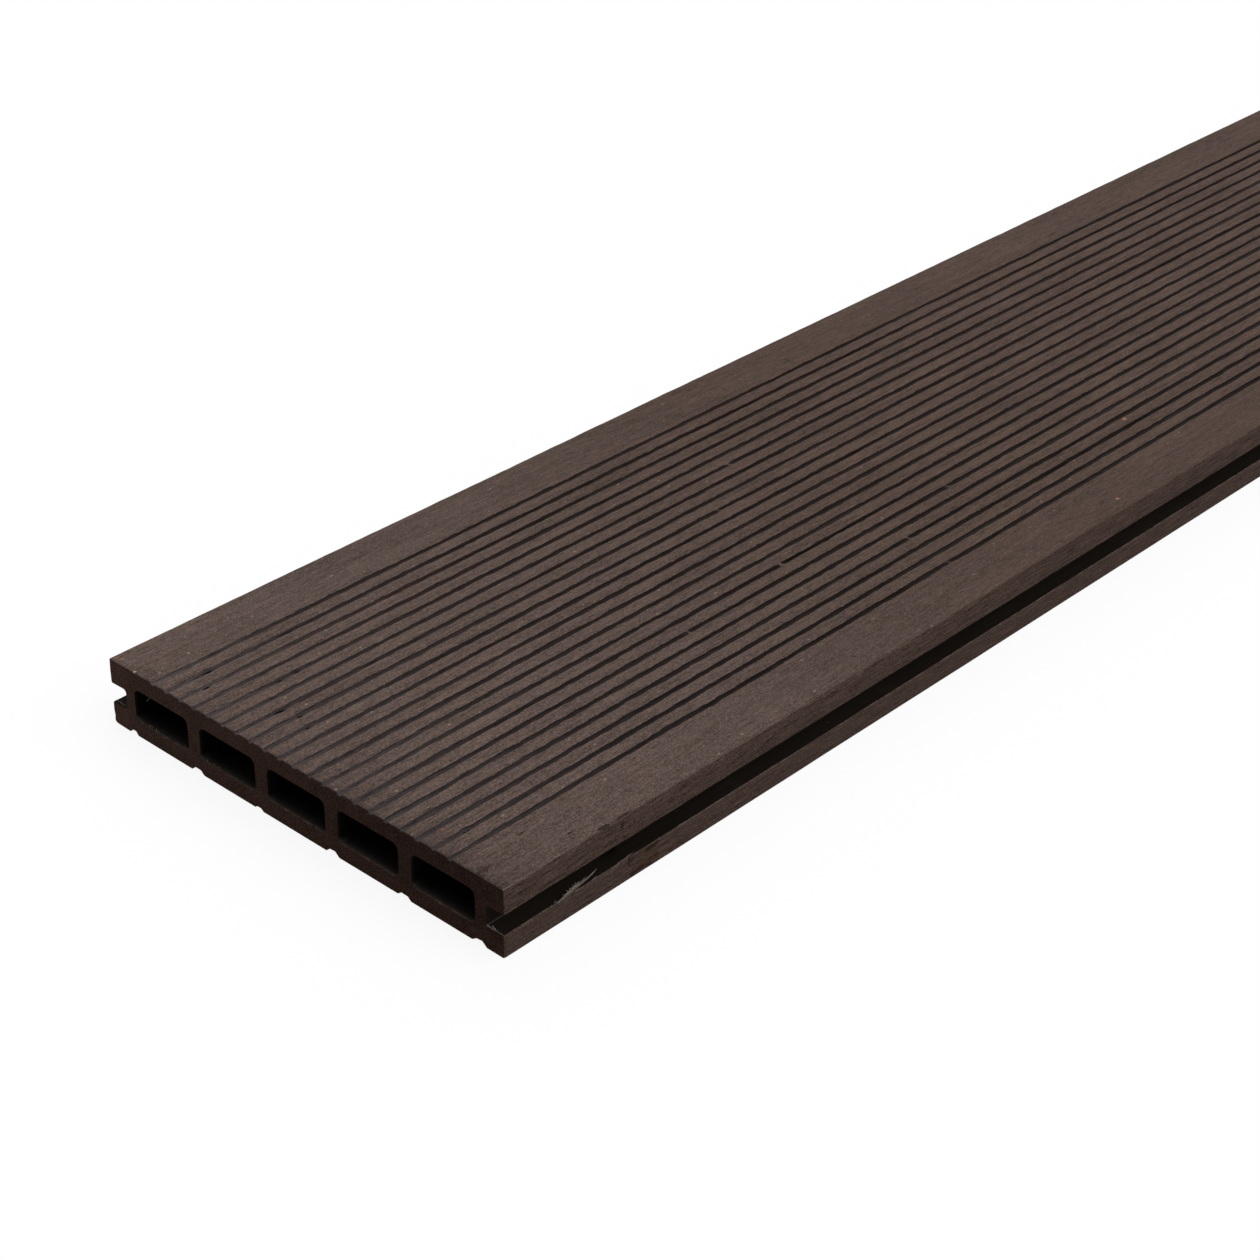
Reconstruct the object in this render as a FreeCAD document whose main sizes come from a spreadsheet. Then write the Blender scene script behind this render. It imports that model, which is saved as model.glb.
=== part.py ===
"""Hollow decking board of wood-plastic composite, extruded in one piece and sawn to length.

Frame: +X along the length, +Y across the width, +Z up through the thickness.
The origin is at the middle of the underside. Sizes are in millimetres.
"""

import FreeCAD
import Part
import Sketcher
import math
import os

PARTS_FOLDER = "parts"
BOARD = "decking_board"

# Driving dimensions: name, value and what it measures.
DIMENSIONS = [
    ("length", 2200.0, "sawn end to sawn end"),
    ("width", 138.0, "side face to side face"),
    ("thickness", 19.0, "underside to rib tops"),
    ("upper_edge_radius", 0.5, "rounding of the two upper long edges"),
    ("lower_edge_radius", 0.5, "rounding of the two lower long edges"),
    ("slot_depth", 5.6, "side face to the back of the clip slot"),
    ("slot_height", 5.5, "opening of the clip slot"),
    ("slot_corner", 0.6, "rounding of the two corners at the back of the clip slot"),
    ("lower_lip", 6.4, "underside to the clip slot"),
    ("chamber_count", 5, "hollow chambers side by side"),
    ("side_wall", 3.9, "back of the clip slot to the outer chamber"),
    ("web", 5.0, "wall between two chambers"),
    ("upper_wall", 5.2, "chamber to rib tops"),
    ("lower_wall", 4.9, "underside to chamber"),
    ("chamber_corner", 1.5, "corner radius of a chamber"),
    ("groove_count", 21, "anti-slip grooves across the top"),
    ("groove_margin", 17.0, "side face to the middle of the first groove"),
    ("groove_mouth", 1.6, "width of a groove at the rib tops"),
    ("groove_floor", 0.9, "width of a groove at its floor"),
    ("groove_depth", 0.6, "rib tops to groove floor"),
    ("relief_pitch", 24.4, "middle of one underside groove to the next"),
    ("relief_mouth", 4.6, "width of an underside groove at the underside"),
    ("relief_floor", 2.0, "width of an underside groove at its floor"),
    ("relief_depth", 1.1, "underside to the floor of its groove"),
]

# What follows from the driving dimensions.
CHAMBER_WIDTH = (
    "((dims.width - 2 * (dims.slot_depth + dims.side_wall)"
    " - (dims.chamber_count - 1) * dims.web) / dims.chamber_count)"
)
CHAMBER_HEIGHT = "(dims.thickness - dims.upper_wall - dims.lower_wall)"
CHAMBER_PITCH = f"({CHAMBER_WIDTH} + dims.web)"
FIRST_CHAMBER_SIDE = "(dims.width / 2 - dims.slot_depth - dims.side_wall)"
GROOVE_PITCH = "((dims.width - 2 * dims.groove_margin) / (dims.groove_count - 1))"
FIRST_GROOVE = "(dims.width / 2 - dims.groove_margin)"
RELIEF_COUNT = "dims.chamber_count + 1"
FIRST_RELIEF = "(dims.relief_pitch * dims.chamber_count / 2)"

# How a sketch numbers its horizontal axis, its origin point and the two ends of a line or arc.
AXIS = -1
ORIGIN = (-1, 1)
START = 1
END = 2


def add_sheet(doc):
    """The spreadsheet of driving dimensions, one named cell for each."""
    sheet = doc.addObject("Spreadsheet::Sheet", "dims")
    for row, (name, value, meaning) in enumerate(DIMENSIONS, start=1):
        sheet.set(f"A{row}", name)
        sheet.set(f"B{row}", str(value))
        sheet.setAlias(f"B{row}", name)
        sheet.set(f"C{row}", meaning)
    doc.recompute()


def origin_feature(body, role):
    """One of the body's own planes or axes."""
    return next(feature for feature in body.Origin.OriginFeatures if feature.Role == role)


def section_sketch(body, name):
    """An empty sketch across the board: its horizontal is +Y and its vertical is +Z."""
    sketch = body.newObject("Sketcher::SketchObject", name)
    sketch.AttachmentSupport = [(origin_feature(body, "YZ_Plane"), "")]
    sketch.MapMode = "FlatFace"
    return sketch


def bind(sketch, kind, references, expression):
    """Adds a dimension of this kind and ties it to the sheet."""
    drawn_size = 1.0
    number = sketch.addConstraint(Sketcher.Constraint(kind, *references, drawn_size))
    sketch.setExpression(f"Constraints[{number}]", expression)


def straighten(sketch, level, upright):
    """Keeps lines level or upright."""
    for line in level:
        sketch.addConstraint(Sketcher.Constraint("Horizontal", line))
    for line in upright:
        sketch.addConstraint(Sketcher.Constraint("Vertical", line))


def draw_loop(sketch, corners):
    """Draws a closed loop of lines and returns them.

    The corners only say where each line lies roughly: the dimensions set their places.
    """
    points = [FreeCAD.Vector(y, z, 0) for y, z in corners]
    ends = points[1:] + points[:1]
    lines = [sketch.addGeometry(Part.LineSegment(a, b), False) for a, b in zip(points, ends)]
    for line, following in zip(lines, lines[1:] + lines[:1]):
        sketch.addConstraint(Sketcher.Constraint("Coincident", line, END, following, START))
    return lines


def draw_rounded_box(sketch, low, high, radius):
    """Draws a rectangle with rounded corners and returns its four lines and its first corner.

    The lines are the bottom, the right, the top and the left one. The corners and the radius are
    rough, as in a loop.
    """
    inner_low = (low[0] + radius, low[1] + radius)
    inner_high = (high[0] - radius, high[1] - radius)
    segments = [
        ((inner_low[0], low[1]), (inner_high[0], low[1])),
        ((high[0], inner_low[1]), (high[0], inner_high[1])),
        ((inner_high[0], high[1]), (inner_low[0], high[1])),
        ((low[0], inner_high[1]), (low[0], inner_low[1])),
    ]
    centres = [(inner_high[0], inner_low[1]), inner_high, (inner_low[0], inner_high[1]), inner_low]
    upward = FreeCAD.Vector(0, 0, 1)
    quarter = math.pi / 2
    lines = []
    arcs = []
    for turn, ((a, b), centre) in enumerate(zip(segments, centres)):
        line = Part.LineSegment(FreeCAD.Vector(*a, 0), FreeCAD.Vector(*b, 0))
        circle = Part.Circle(FreeCAD.Vector(*centre, 0), upward, radius)
        arc = Part.ArcOfCircle(circle, (turn - 1) * quarter, turn * quarter)
        lines.append(sketch.addGeometry(line, False))
        arcs.append(sketch.addGeometry(arc, False))
    for line, arc, following in zip(lines, arcs, lines[1:] + lines[:1]):
        sketch.addConstraint(Sketcher.Constraint("Tangent", line, END, arc, START))
        sketch.addConstraint(Sketcher.Constraint("Tangent", arc, END, following, START))
    for arc in arcs[1:]:
        sketch.addConstraint(Sketcher.Constraint("Equal", arcs[0], arc))
    return lines, arcs[0]


def draw_blank(body):
    """The outer rectangle of the section, standing on the origin."""
    sketch = section_sketch(body, "blank_section")
    bottom, right, top, left = draw_loop(sketch, [(-60, 0), (60, 0), (60, 20), (-60, 20)])
    straighten(sketch, [bottom, top], [right, left])
    sketch.addConstraint(Sketcher.Constraint("Symmetric", bottom, START, bottom, END, *ORIGIN))
    bind(sketch, "DistanceX", (bottom, START, bottom, END), "dims.width")
    bind(sketch, "DistanceY", (right, START, right, END), "dims.thickness")
    return sketch


def size_rounded_box(sketch, lines, side, width, floor, height):
    """Sets a rounded box's width and height, its floor's level and its left side's distance from the middle."""
    bottom, right, top, left = lines
    straighten(sketch, [bottom, top], [right, left])
    bind(sketch, "DistanceX", (left, START, *ORIGIN), side)
    bind(sketch, "DistanceX", (left, START, right, START), width)
    bind(sketch, "DistanceY", (*ORIGIN, bottom, START), floor)
    bind(sketch, "DistanceY", (bottom, START, top, START), height)


def draw_slot(body):
    """The clip slot in the side that faces -Y.

    It runs out of that side by its own corner radius, so its mouth is square and only its back is rounded.
    """
    sketch = section_sketch(body, "slot_section")
    lines, corner = draw_rounded_box(sketch, (-70, 6), (-63, 12), 1)
    bind(sketch, "Radius", (corner,), "dims.slot_corner")
    side = "dims.width / 2 + dims.slot_corner"
    width = "dims.slot_depth + dims.slot_corner"
    size_rounded_box(sketch, lines, side, width, "dims.lower_lip", "dims.slot_height")
    return sketch


def draw_chamber(body):
    """The hollow chamber nearest the side that faces -Y."""
    sketch = section_sketch(body, "chamber_section")
    lines, corner = draw_rounded_box(sketch, (-60, 5), (-40, 14), 2)
    bind(sketch, "Radius", (corner,), "dims.chamber_corner")
    size_rounded_box(sketch, lines, FIRST_CHAMBER_SIDE, CHAMBER_WIDTH, "dims.lower_wall", CHAMBER_HEIGHT)
    return sketch


def size_trapezium(sketch, lines, distance, mouth, floor):
    """Sets a groove's two widths and how far its middle is from the middle of the board."""
    wall, floor_line, far_wall = lines
    bind(sketch, "DistanceX", (wall, START, *ORIGIN), f"{distance} + {mouth} / 2")
    bind(sketch, "DistanceX", (wall, START, far_wall, END), mouth)
    bind(sketch, "DistanceX", (wall, START, wall, END), f"({mouth} - {floor}) / 2")
    bind(sketch, "DistanceX", (floor_line, START, floor_line, END), floor)


def draw_groove(body):
    """The anti-slip groove nearest the side that faces -Y: a trapezium cut down from the top."""
    sketch = section_sketch(body, "groove_section")
    wall, floor, far_wall, mouth = draw_loop(sketch, [(-53, 19), (-52.5, 18), (-51.5, 18), (-51, 19)])
    straighten(sketch, [floor, mouth], [])
    bind(sketch, "DistanceY", (*ORIGIN, wall, START), "dims.thickness")
    bind(sketch, "DistanceY", (wall, END, wall, START), "dims.groove_depth")
    size_trapezium(sketch, (wall, floor, far_wall), FIRST_GROOVE, "dims.groove_mouth", "dims.groove_floor")
    return sketch


def draw_relief(body):
    """The underside groove nearest the side that faces -Y: a trapezium cut up from the underside."""
    sketch = section_sketch(body, "relief_section")
    wall, floor, far_wall, mouth = draw_loop(sketch, [(-64, 0), (-63, 1), (-61, 1), (-60, 0)])
    straighten(sketch, [floor, mouth], [])
    sketch.addConstraint(Sketcher.Constraint("PointOnObject", wall, START, AXIS))
    bind(sketch, "DistanceY", (wall, START, wall, END), "dims.relief_depth")
    size_trapezium(sketch, (wall, floor, far_wall), FIRST_RELIEF, "dims.relief_mouth", "dims.relief_floor")
    return sketch


def extrude_blank(body):
    """The full section of the board at its whole length, half of it on either side of the origin."""
    pad = body.newObject("PartDesign::Pad", "blank")
    pad.Profile = draw_blank(body)
    pad.SideType = "Symmetric"
    pad.setExpression("Length", "dims.length")
    body.Document.recompute()
    return pad


def round_long_edges(body, name, base, upper, radius):
    """Rounds the two long edges at the top or at the bottom of the side faces."""
    box = base.Shape.BoundBox
    height = box.ZMax if upper else box.ZMin
    tolerance = 1e-6
    names = []
    for number, edge in enumerate(base.Shape.Edges, start=1):
        span = edge.BoundBox
        level = abs(span.ZMin - height) < tolerance and abs(span.ZMax - height) < tolerance
        if level and abs(span.XLength - box.XLength) < tolerance:
            names.append(f"Edge{number}")
    fillet = body.newObject("PartDesign::Fillet", name)
    fillet.Base = (base, names)
    fillet.setExpression("Radius", radius)
    body.Document.recompute()
    return fillet


def cut_through(body, name, sketch):
    """Cuts a section from one end of the board to the other."""
    pocket = body.newObject("PartDesign::Pocket", name)
    pocket.Profile = sketch
    pocket.SideType = "Symmetric"
    pocket.Type = "ThroughAll"
    body.Document.recompute()
    return pocket


def repeat_across(body, name, original, pitch, count):
    """Repeats a cut across the width, from -Y towards +Y."""
    pattern = body.newObject("PartDesign::LinearPattern", name)
    pattern.Originals = [original]
    pattern.Direction = (origin_feature(body, "Y_Axis"), [""])
    pattern.Mode = "Spacing"
    pattern.setExpression("Offset", pitch)
    pattern.setExpression("Occurrences", count)
    body.Tip = pattern
    body.Document.recompute()
    return pattern


def mirror_across(body, name, original):
    """Repeats a cut on the other side of the middle of the board."""
    mirrored = body.newObject("PartDesign::Mirrored", name)
    mirrored.Originals = [original]
    mirrored.MirrorPlane = (origin_feature(body, "XZ_Plane"), [""])
    body.Tip = mirrored
    body.Document.recompute()
    return mirrored


def build_board(doc):
    """The whole board, feature by feature, with the features in the order they are made."""
    body = doc.addObject("PartDesign::Body", BOARD)
    body.Label = BOARD
    body.Placement = FreeCAD.Placement()
    blank = extrude_blank(body)
    upper = round_long_edges(body, "upper_edges", blank, True, "dims.upper_edge_radius")
    lower = round_long_edges(body, "lower_edges", upper, False, "dims.lower_edge_radius")
    slot = cut_through(body, "slot", draw_slot(body))
    slots = mirror_across(body, "slots", slot)
    chamber = cut_through(body, "chamber", draw_chamber(body))
    chambers = repeat_across(body, "chambers", chamber, CHAMBER_PITCH, "dims.chamber_count")
    groove = cut_through(body, "groove", draw_groove(body))
    grooves = repeat_across(body, "grooves", groove, GROOVE_PITCH, "dims.groove_count")
    relief = cut_through(body, "relief", draw_relief(body))
    reliefs = repeat_across(body, "reliefs", relief, "dims.relief_pitch", RELIEF_COUNT)
    steps = [blank, upper, lower, slot, slots, chamber, chambers, groove, grooves, relief, reliefs]
    return body, steps


def check_board(doc, body, steps):
    """Stops when a feature failed, when a cut took nothing away or when the solid is not sound."""
    for item in doc.Objects:
        if "Invalid" in item.State or "Error" in item.State:
            raise RuntimeError(f"{item.Name} did not build: {item.State}")
        if item.isDerivedFrom("Sketcher::SketchObject") and not item.FullyConstrained:
            raise RuntimeError(f"{item.Name} is not fully constrained")
    for earlier, later in zip(steps, steps[1:]):
        if later.Shape.Volume >= earlier.Shape.Volume:
            raise RuntimeError(f"{later.Name} took nothing away")
    if body.Shape.isNull() or not body.Shape.isValid():
        raise RuntimeError(f"{body.Name} has no sound shape")
    if len(body.Shape.Solids) != 1:
        raise RuntimeError(f"{body.Name} is not one solid")


def main():
    """Builds the board, checks it and writes its file."""
    doc = FreeCAD.newDocument("decking")
    add_sheet(doc)
    body, steps = build_board(doc)
    doc.recompute()
    check_board(doc, body, steps)
    os.makedirs(PARTS_FOLDER, exist_ok=True)
    body.Shape.exportStep(os.path.join(PARTS_FOLDER, f"{BOARD}.step"))
    box = body.Shape.BoundBox
    print(f"{BOARD}: {box.XLength:.2f} x {box.YLength:.2f} x {box.ZLength:.2f} mm")
    print(f"volume {body.Shape.Volume:.0f} mm3, {len(body.Shape.Faces)} faces")


main()
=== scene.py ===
"""Looks of a hollow composite decking board: its worn skin, its finishes, its studio and its camera.

Lengths are in metres in the board's own frame: +X along the board, +Y across it, +Z up, with the origin
at the middle of the underside. The near end is the sawn end at -X, and the right side faces -Y. What a
finish says about grain, flecks, marks and reaches is in millimetres, and so are the places of torn fibres.
"""

import logging
import math
from dataclasses import dataclass
from enum import IntEnum
from typing import Mapping, Optional, Sequence, Union

import bpy
import numpy as np
from mathutils import Matrix, Vector
from mathutils.geometry import tessellate_polygon


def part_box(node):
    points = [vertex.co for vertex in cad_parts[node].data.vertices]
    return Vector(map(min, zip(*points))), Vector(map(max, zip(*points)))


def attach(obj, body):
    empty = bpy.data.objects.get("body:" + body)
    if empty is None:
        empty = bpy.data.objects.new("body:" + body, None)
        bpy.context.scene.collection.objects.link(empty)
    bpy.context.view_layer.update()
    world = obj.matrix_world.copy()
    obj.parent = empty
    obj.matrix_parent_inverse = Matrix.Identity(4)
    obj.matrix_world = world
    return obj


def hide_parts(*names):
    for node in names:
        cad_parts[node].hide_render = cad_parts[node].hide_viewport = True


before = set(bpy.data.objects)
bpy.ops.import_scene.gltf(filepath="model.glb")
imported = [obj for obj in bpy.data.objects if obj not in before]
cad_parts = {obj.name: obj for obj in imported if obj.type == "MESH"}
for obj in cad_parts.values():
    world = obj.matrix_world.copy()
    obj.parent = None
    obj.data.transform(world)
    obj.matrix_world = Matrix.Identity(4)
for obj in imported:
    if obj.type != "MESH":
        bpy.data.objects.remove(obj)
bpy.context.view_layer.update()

MM = 0.001
PER_METRE_IN_MM = 1000.0
BOARD_NODE = "decking_board"
BODY = "root"

Colour = tuple[float, float, float]
Point = tuple[float, float, float]
Span = tuple[float, float]

log = logging.getLogger("decking")


class Zone(IntEnum):
    """The parts of the board's surface with a finish of their own, in the order of the material slots."""

    DECK = 0
    SIDE = 1
    SLOT = 2
    UNDERSIDE = 3
    END = 4
    CHAMBER = 5
    # the lower lips' top arrises and the chamber sills: worn edges with a painted highlight
    WORN_HIGHLIGHT = 6


class Hand(IntEnum):
    """One of the board's long sides, as the sign of its Y."""

    RIGHT = -1
    LEFT = 1


class Value:
    """A number, colour or vector that changes over a surface: a node's output that takes part in maths."""

    def __init__(self, wiring: "Wiring", socket: Optional[bpy.types.NodeSocket]) -> None:
        """Wraps a socket of that wiring."""
        self.wiring = wiring
        self.socket = socket

    def _maths(self, operation: str, first: "Amount", second: "Amount") -> "Value":
        """A Math node on two numbers."""
        return self.wiring.node("ShaderNodeMath", {"operation": operation}, {0: first, 1: second})

    def __add__(self, other: "Amount") -> "Value":
        """Value plus other."""
        return self._maths("ADD", self, other)

    def __radd__(self, other: float) -> "Value":
        """Other plus value."""
        return self._maths("ADD", other, self)

    def __sub__(self, other: "Amount") -> "Value":
        """Value minus other."""
        return self._maths("SUBTRACT", self, other)

    def __rsub__(self, other: float) -> "Value":
        """Other minus value."""
        return self._maths("SUBTRACT", other, self)

    def __mul__(self, other: "Amount") -> "Value":
        """Value times other."""
        return self._maths("MULTIPLY", self, other)

    def __rmul__(self, other: float) -> "Value":
        """Other times value."""
        return self._maths("MULTIPLY", other, self)

    def __abs__(self) -> "Value":
        """Value without its sign."""
        return self._maths("ABSOLUTE", self, 0.0)

    def step(self, low: float, high: float) -> "Value":
        """A smooth step.

        Args:
            low: the value at which it is 0.
            high: the value at which it is 1, which may be the smaller of the two.

        Returns:
            The step.
        """
        settings = {"interpolation_type": "SMOOTHSTEP"}
        sockets = {"Value": self, "From Min": low, "From Max": high}
        return self.wiring.node("ShaderNodeMapRange", settings, sockets)

    def fading(self, reach: float) -> "Value":
        """1 at 0, and smaller by the same share for each reach that the value grows."""
        return self._maths("EXPONENT", self * (-1.0 / reach), 0.0)

    def other(self, output: str) -> "Value":
        """Another output of the node that this value comes from."""
        return Value(self.wiring, self.socket.node.outputs[output])


Amount = Union[Value, float]
Paint = Union[Value, Colour]


@dataclass(frozen=True)
class Grain:
    """Cloudy noise: the size of its spots along, across and up, its finer layers and their strength."""

    size: Point
    detail: float = 2.0
    harshness: float = 0.5


@dataclass(frozen=True)
class Flecks:
    """Scattered flecks: the size of the cells that hold one each, their radius and the share that shows.

    The radius is a share of a cell's size, and the last number is the share of the cells whose fleck shows.
    """

    spacing: Point
    radius: float
    share: float


class Wiring:
    """A node tree, with every node added through one method."""

    MIX_FIRST = 6
    MIX_SECOND = 7
    MIX_RESULT = 2
    NOISE_MIDDLE = 0.5
    SMALLEST_FLECK = 0.4
    FLECK_EDGE = 0.3
    SPOT_CORE = 0.6

    def __init__(self, tree: bpy.types.NodeTree) -> None:
        """Starts with that tree emptied."""
        self.tree = tree
        self.tree.nodes.clear()

    def node(
        self,
        kind: str,
        settings: Optional[Mapping[str, object]] = None,
        sockets: Optional[Mapping[Union[str, int], object]] = None,
        output: Union[str, int] = 0,
    ) -> Value:
        """Adds a node.

        Args:
            kind: the node's type.
            settings: its own properties, which are set first.
            sockets: values or links of its inputs, by name or number.
            output: which output to hand back.

        Returns:
            The wrapped output, or an empty one where the node has none.
        """
        made = self.tree.nodes.new(kind)
        for name, setting in (settings or {}).items():
            setattr(made, name, setting)
        for key, value in (sockets or {}).items():
            target = made.inputs[key]
            if isinstance(value, Value):
                self.tree.links.new(value.socket, target)
            elif target.type == "RGBA":
                target.default_value = (*value, 1.0)
            else:
                target.default_value = value
        return Value(self, made.outputs[output] if len(made.outputs) else None)

    def place(self) -> Value:
        """Where a point of the surface is on the board, in millimetres."""
        coordinates = self.node("ShaderNodeTexCoord", output="Object")
        return self.shade(coordinates, PER_METRE_IN_MM)

    def from_near_end(self, place: Value, half_length: float) -> Value:
        """A place on the board with its length counted from the near end, in millimetres."""
        offset = (half_length * PER_METRE_IN_MM, 0.0, 0.0)
        return self.node("ShaderNodeVectorMath", {"operation": "ADD"}, {0: place, 1: offset})

    def axes(self, place: Value) -> tuple[Value, Value, Value]:
        """The three coordinates of a place."""
        along = self.node("ShaderNodeSeparateXYZ", None, {"Vector": place}, "X")
        return along, along.other("Y"), along.other("Z")

    def inward(self, along: Value, half_length: float) -> Value:
        """How far a place is from the nearer sawn end, in millimetres."""
        return half_length * PER_METRE_IN_MM - abs(along)

    def grain(self, place: Value, look: Grain) -> Value:
        """Cloudy noise about 0.

        Args:
            place: where on the board, in millimetres.
            look: what its spots are like.

        Returns:
            A number that mostly stays within half a unit of 0.
        """
        spots = self.node("ShaderNodeVectorMath", {"operation": "DIVIDE"}, {0: place, 1: look.size})
        sockets = {"Vector": spots, "Scale": 1.0, "Detail": look.detail, "Roughness": look.harshness}
        return self.node("ShaderNodeTexNoise", None, sockets) - self.NOISE_MIDDLE

    def flecks(self, plane: Value, look: Flecks) -> Value:
        """Scattered flecks on a plane.

        Args:
            plane: a vector whose first two numbers run over the surface, in millimetres.
            look: how large they are and how many show.

        Returns:
            1 on a fleck and 0 between them.
        """
        cells = self.node("ShaderNodeVectorMath", {"operation": "DIVIDE"}, {0: plane, 1: look.spacing})
        sockets = {"Vector": cells, "Scale": 1.0}
        distance = self.node("ShaderNodeTexVoronoi", {"voronoi_dimensions": "2D"}, sockets)
        draw = self.node("ShaderNodeSeparateColor", None, {"Color": distance.other("Color")})
        size = draw.other("Green") * (1.0 - self.SMALLEST_FLECK) + self.SMALLEST_FLECK
        edge = self.FLECK_EDGE * look.radius
        inside = (distance - size * look.radius).step(edge, -edge)
        return inside * draw.step(1.0 - look.share, 1.01 - look.share)

    def spot(self, place: Value, centre: Point, reach: Point, ragged: Amount) -> Value:
        """One soft-edged spot: 1 in its middle, 0 outside its reach along, across and up.

        Args:
            place: where on the board, in millimetres.
            centre: the spot's middle, in millimetres.
            reach: its half lengths, in millimetres.
            ragged: how far its edge wavers, as a share of its reach.

        Returns:
            The spot's strength.
        """
        offset = self.node("ShaderNodeVectorMath", {"operation": "SUBTRACT"}, {0: place, 1: centre})
        share = self.node("ShaderNodeVectorMath", {"operation": "DIVIDE"}, {0: offset, 1: reach})
        distance = self.node("ShaderNodeVectorMath", {"operation": "LENGTH"}, {0: share}, "Value")
        return (distance + ragged).step(1.0, self.SPOT_CORE)

    def marked(self, place: Value, colour: Value, marks: Sequence["Blemish"], ragged: Amount) -> Value:
        """A colour with blemishes on it.

        Args:
            place: where on the board, in millimetres from the near end, the middle and the underside.
            colour: the colour without them.
            marks: the blemishes.
            ragged: how far their edges waver, as a share of their reach.

        Returns:
            The colour.
        """
        for mark in marks:
            share = self.spot(place, mark.centre, mark.reach, ragged) * mark.strength
            colour = self.blend(share, colour, mark.colour)
        return colour

    def blend(self, share: Amount, first: Paint, second: Paint) -> Value:
        """A colour between two: the first at 0, the second at 1."""
        sockets = {0: share, self.MIX_FIRST: first, self.MIX_SECOND: second}
        return self.node("ShaderNodeMix", {"data_type": "RGBA"}, sockets, self.MIX_RESULT)

    def shade(self, colour: Paint, brightness: Amount) -> Value:
        """A colour made lighter or darker, or a vector made longer or shorter."""
        sockets = {"Vector": colour, "Scale": brightness}
        return self.node("ShaderNodeVectorMath", {"operation": "SCALE"}, sockets)

    def seen_plainly(self) -> Value:
        """1 for rays from the camera, a mirror or through glass, 0 for light that lands on the board."""
        camera = self.node("ShaderNodeLightPath", None, None, "Is Camera Ray")
        return camera + camera.other("Is Glossy Ray") + camera.other("Is Transmission Ray")


@dataclass(frozen=True)
class Blemish:
    """A mark on the skin: its middle from the near end, across and up, its half lengths and its colour."""

    centre: Point
    reach: Point
    colour: Colour
    strength: float


@dataclass(frozen=True)
class Surface:
    """What changes over a finish: its colour, its roughness and its fine relief."""

    colour: Paint
    roughness: Amount
    relief: Value


class Finish:
    """A finish of the board: each kind says what its surface is like. Its relief's height is in metres."""

    name: str
    specular: float
    relief_height: float

    def surface(self, wiring: Wiring) -> Surface:
        """The nodes of this finish."""
        raise NotImplementedError

    def material(self) -> bpy.types.Material:
        """The material with this finish.

        Returns:
            The new material.
        """
        made = bpy.data.materials.new(self.name)
        made.use_nodes = True
        wiring = Wiring(made.node_tree)
        look = self.surface(wiring)
        height = {"Strength": 1.0, "Distance": self.relief_height, "Height": look.relief}
        normal = wiring.node("ShaderNodeBump", None, height)
        sockets = {
            "Base Color": look.colour,
            "Roughness": look.roughness,
            "Specular IOR Level": self.specular,
            "Normal": normal,
        }
        shader = wiring.node("ShaderNodeBsdfPrincipled", None, sockets)
        wiring.node("ShaderNodeOutputMaterial", None, {"Surface": shader})
        return made


RUST: Colour = (0.33, 0.15, 0.085)
PALE: Colour = (0.42, 0.32, 0.27)
RED: Colour = (0.25, 0.085, 0.055)
TORN_DARK: Colour = (0.014, 0.008, 0.006)
STAIN_DARK: Colour = (0.0160, 0.0080, 0.0050)
STAIN_RUST: Colour = (0.060, 0.031, 0.020)
ANY_DEPTH = 4.0


@dataclass(frozen=True)
class DeckPlace:
    """What the deck's colours go by at a place.

    That is how far it is from the nearer sawn end and from the middle, whether it is beside the grooves,
    and the brush strokes and the finest grain there.
    """

    place: Value
    inward: Value
    across: Value
    beside: Value
    strokes: Value
    speckle: Value


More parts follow.
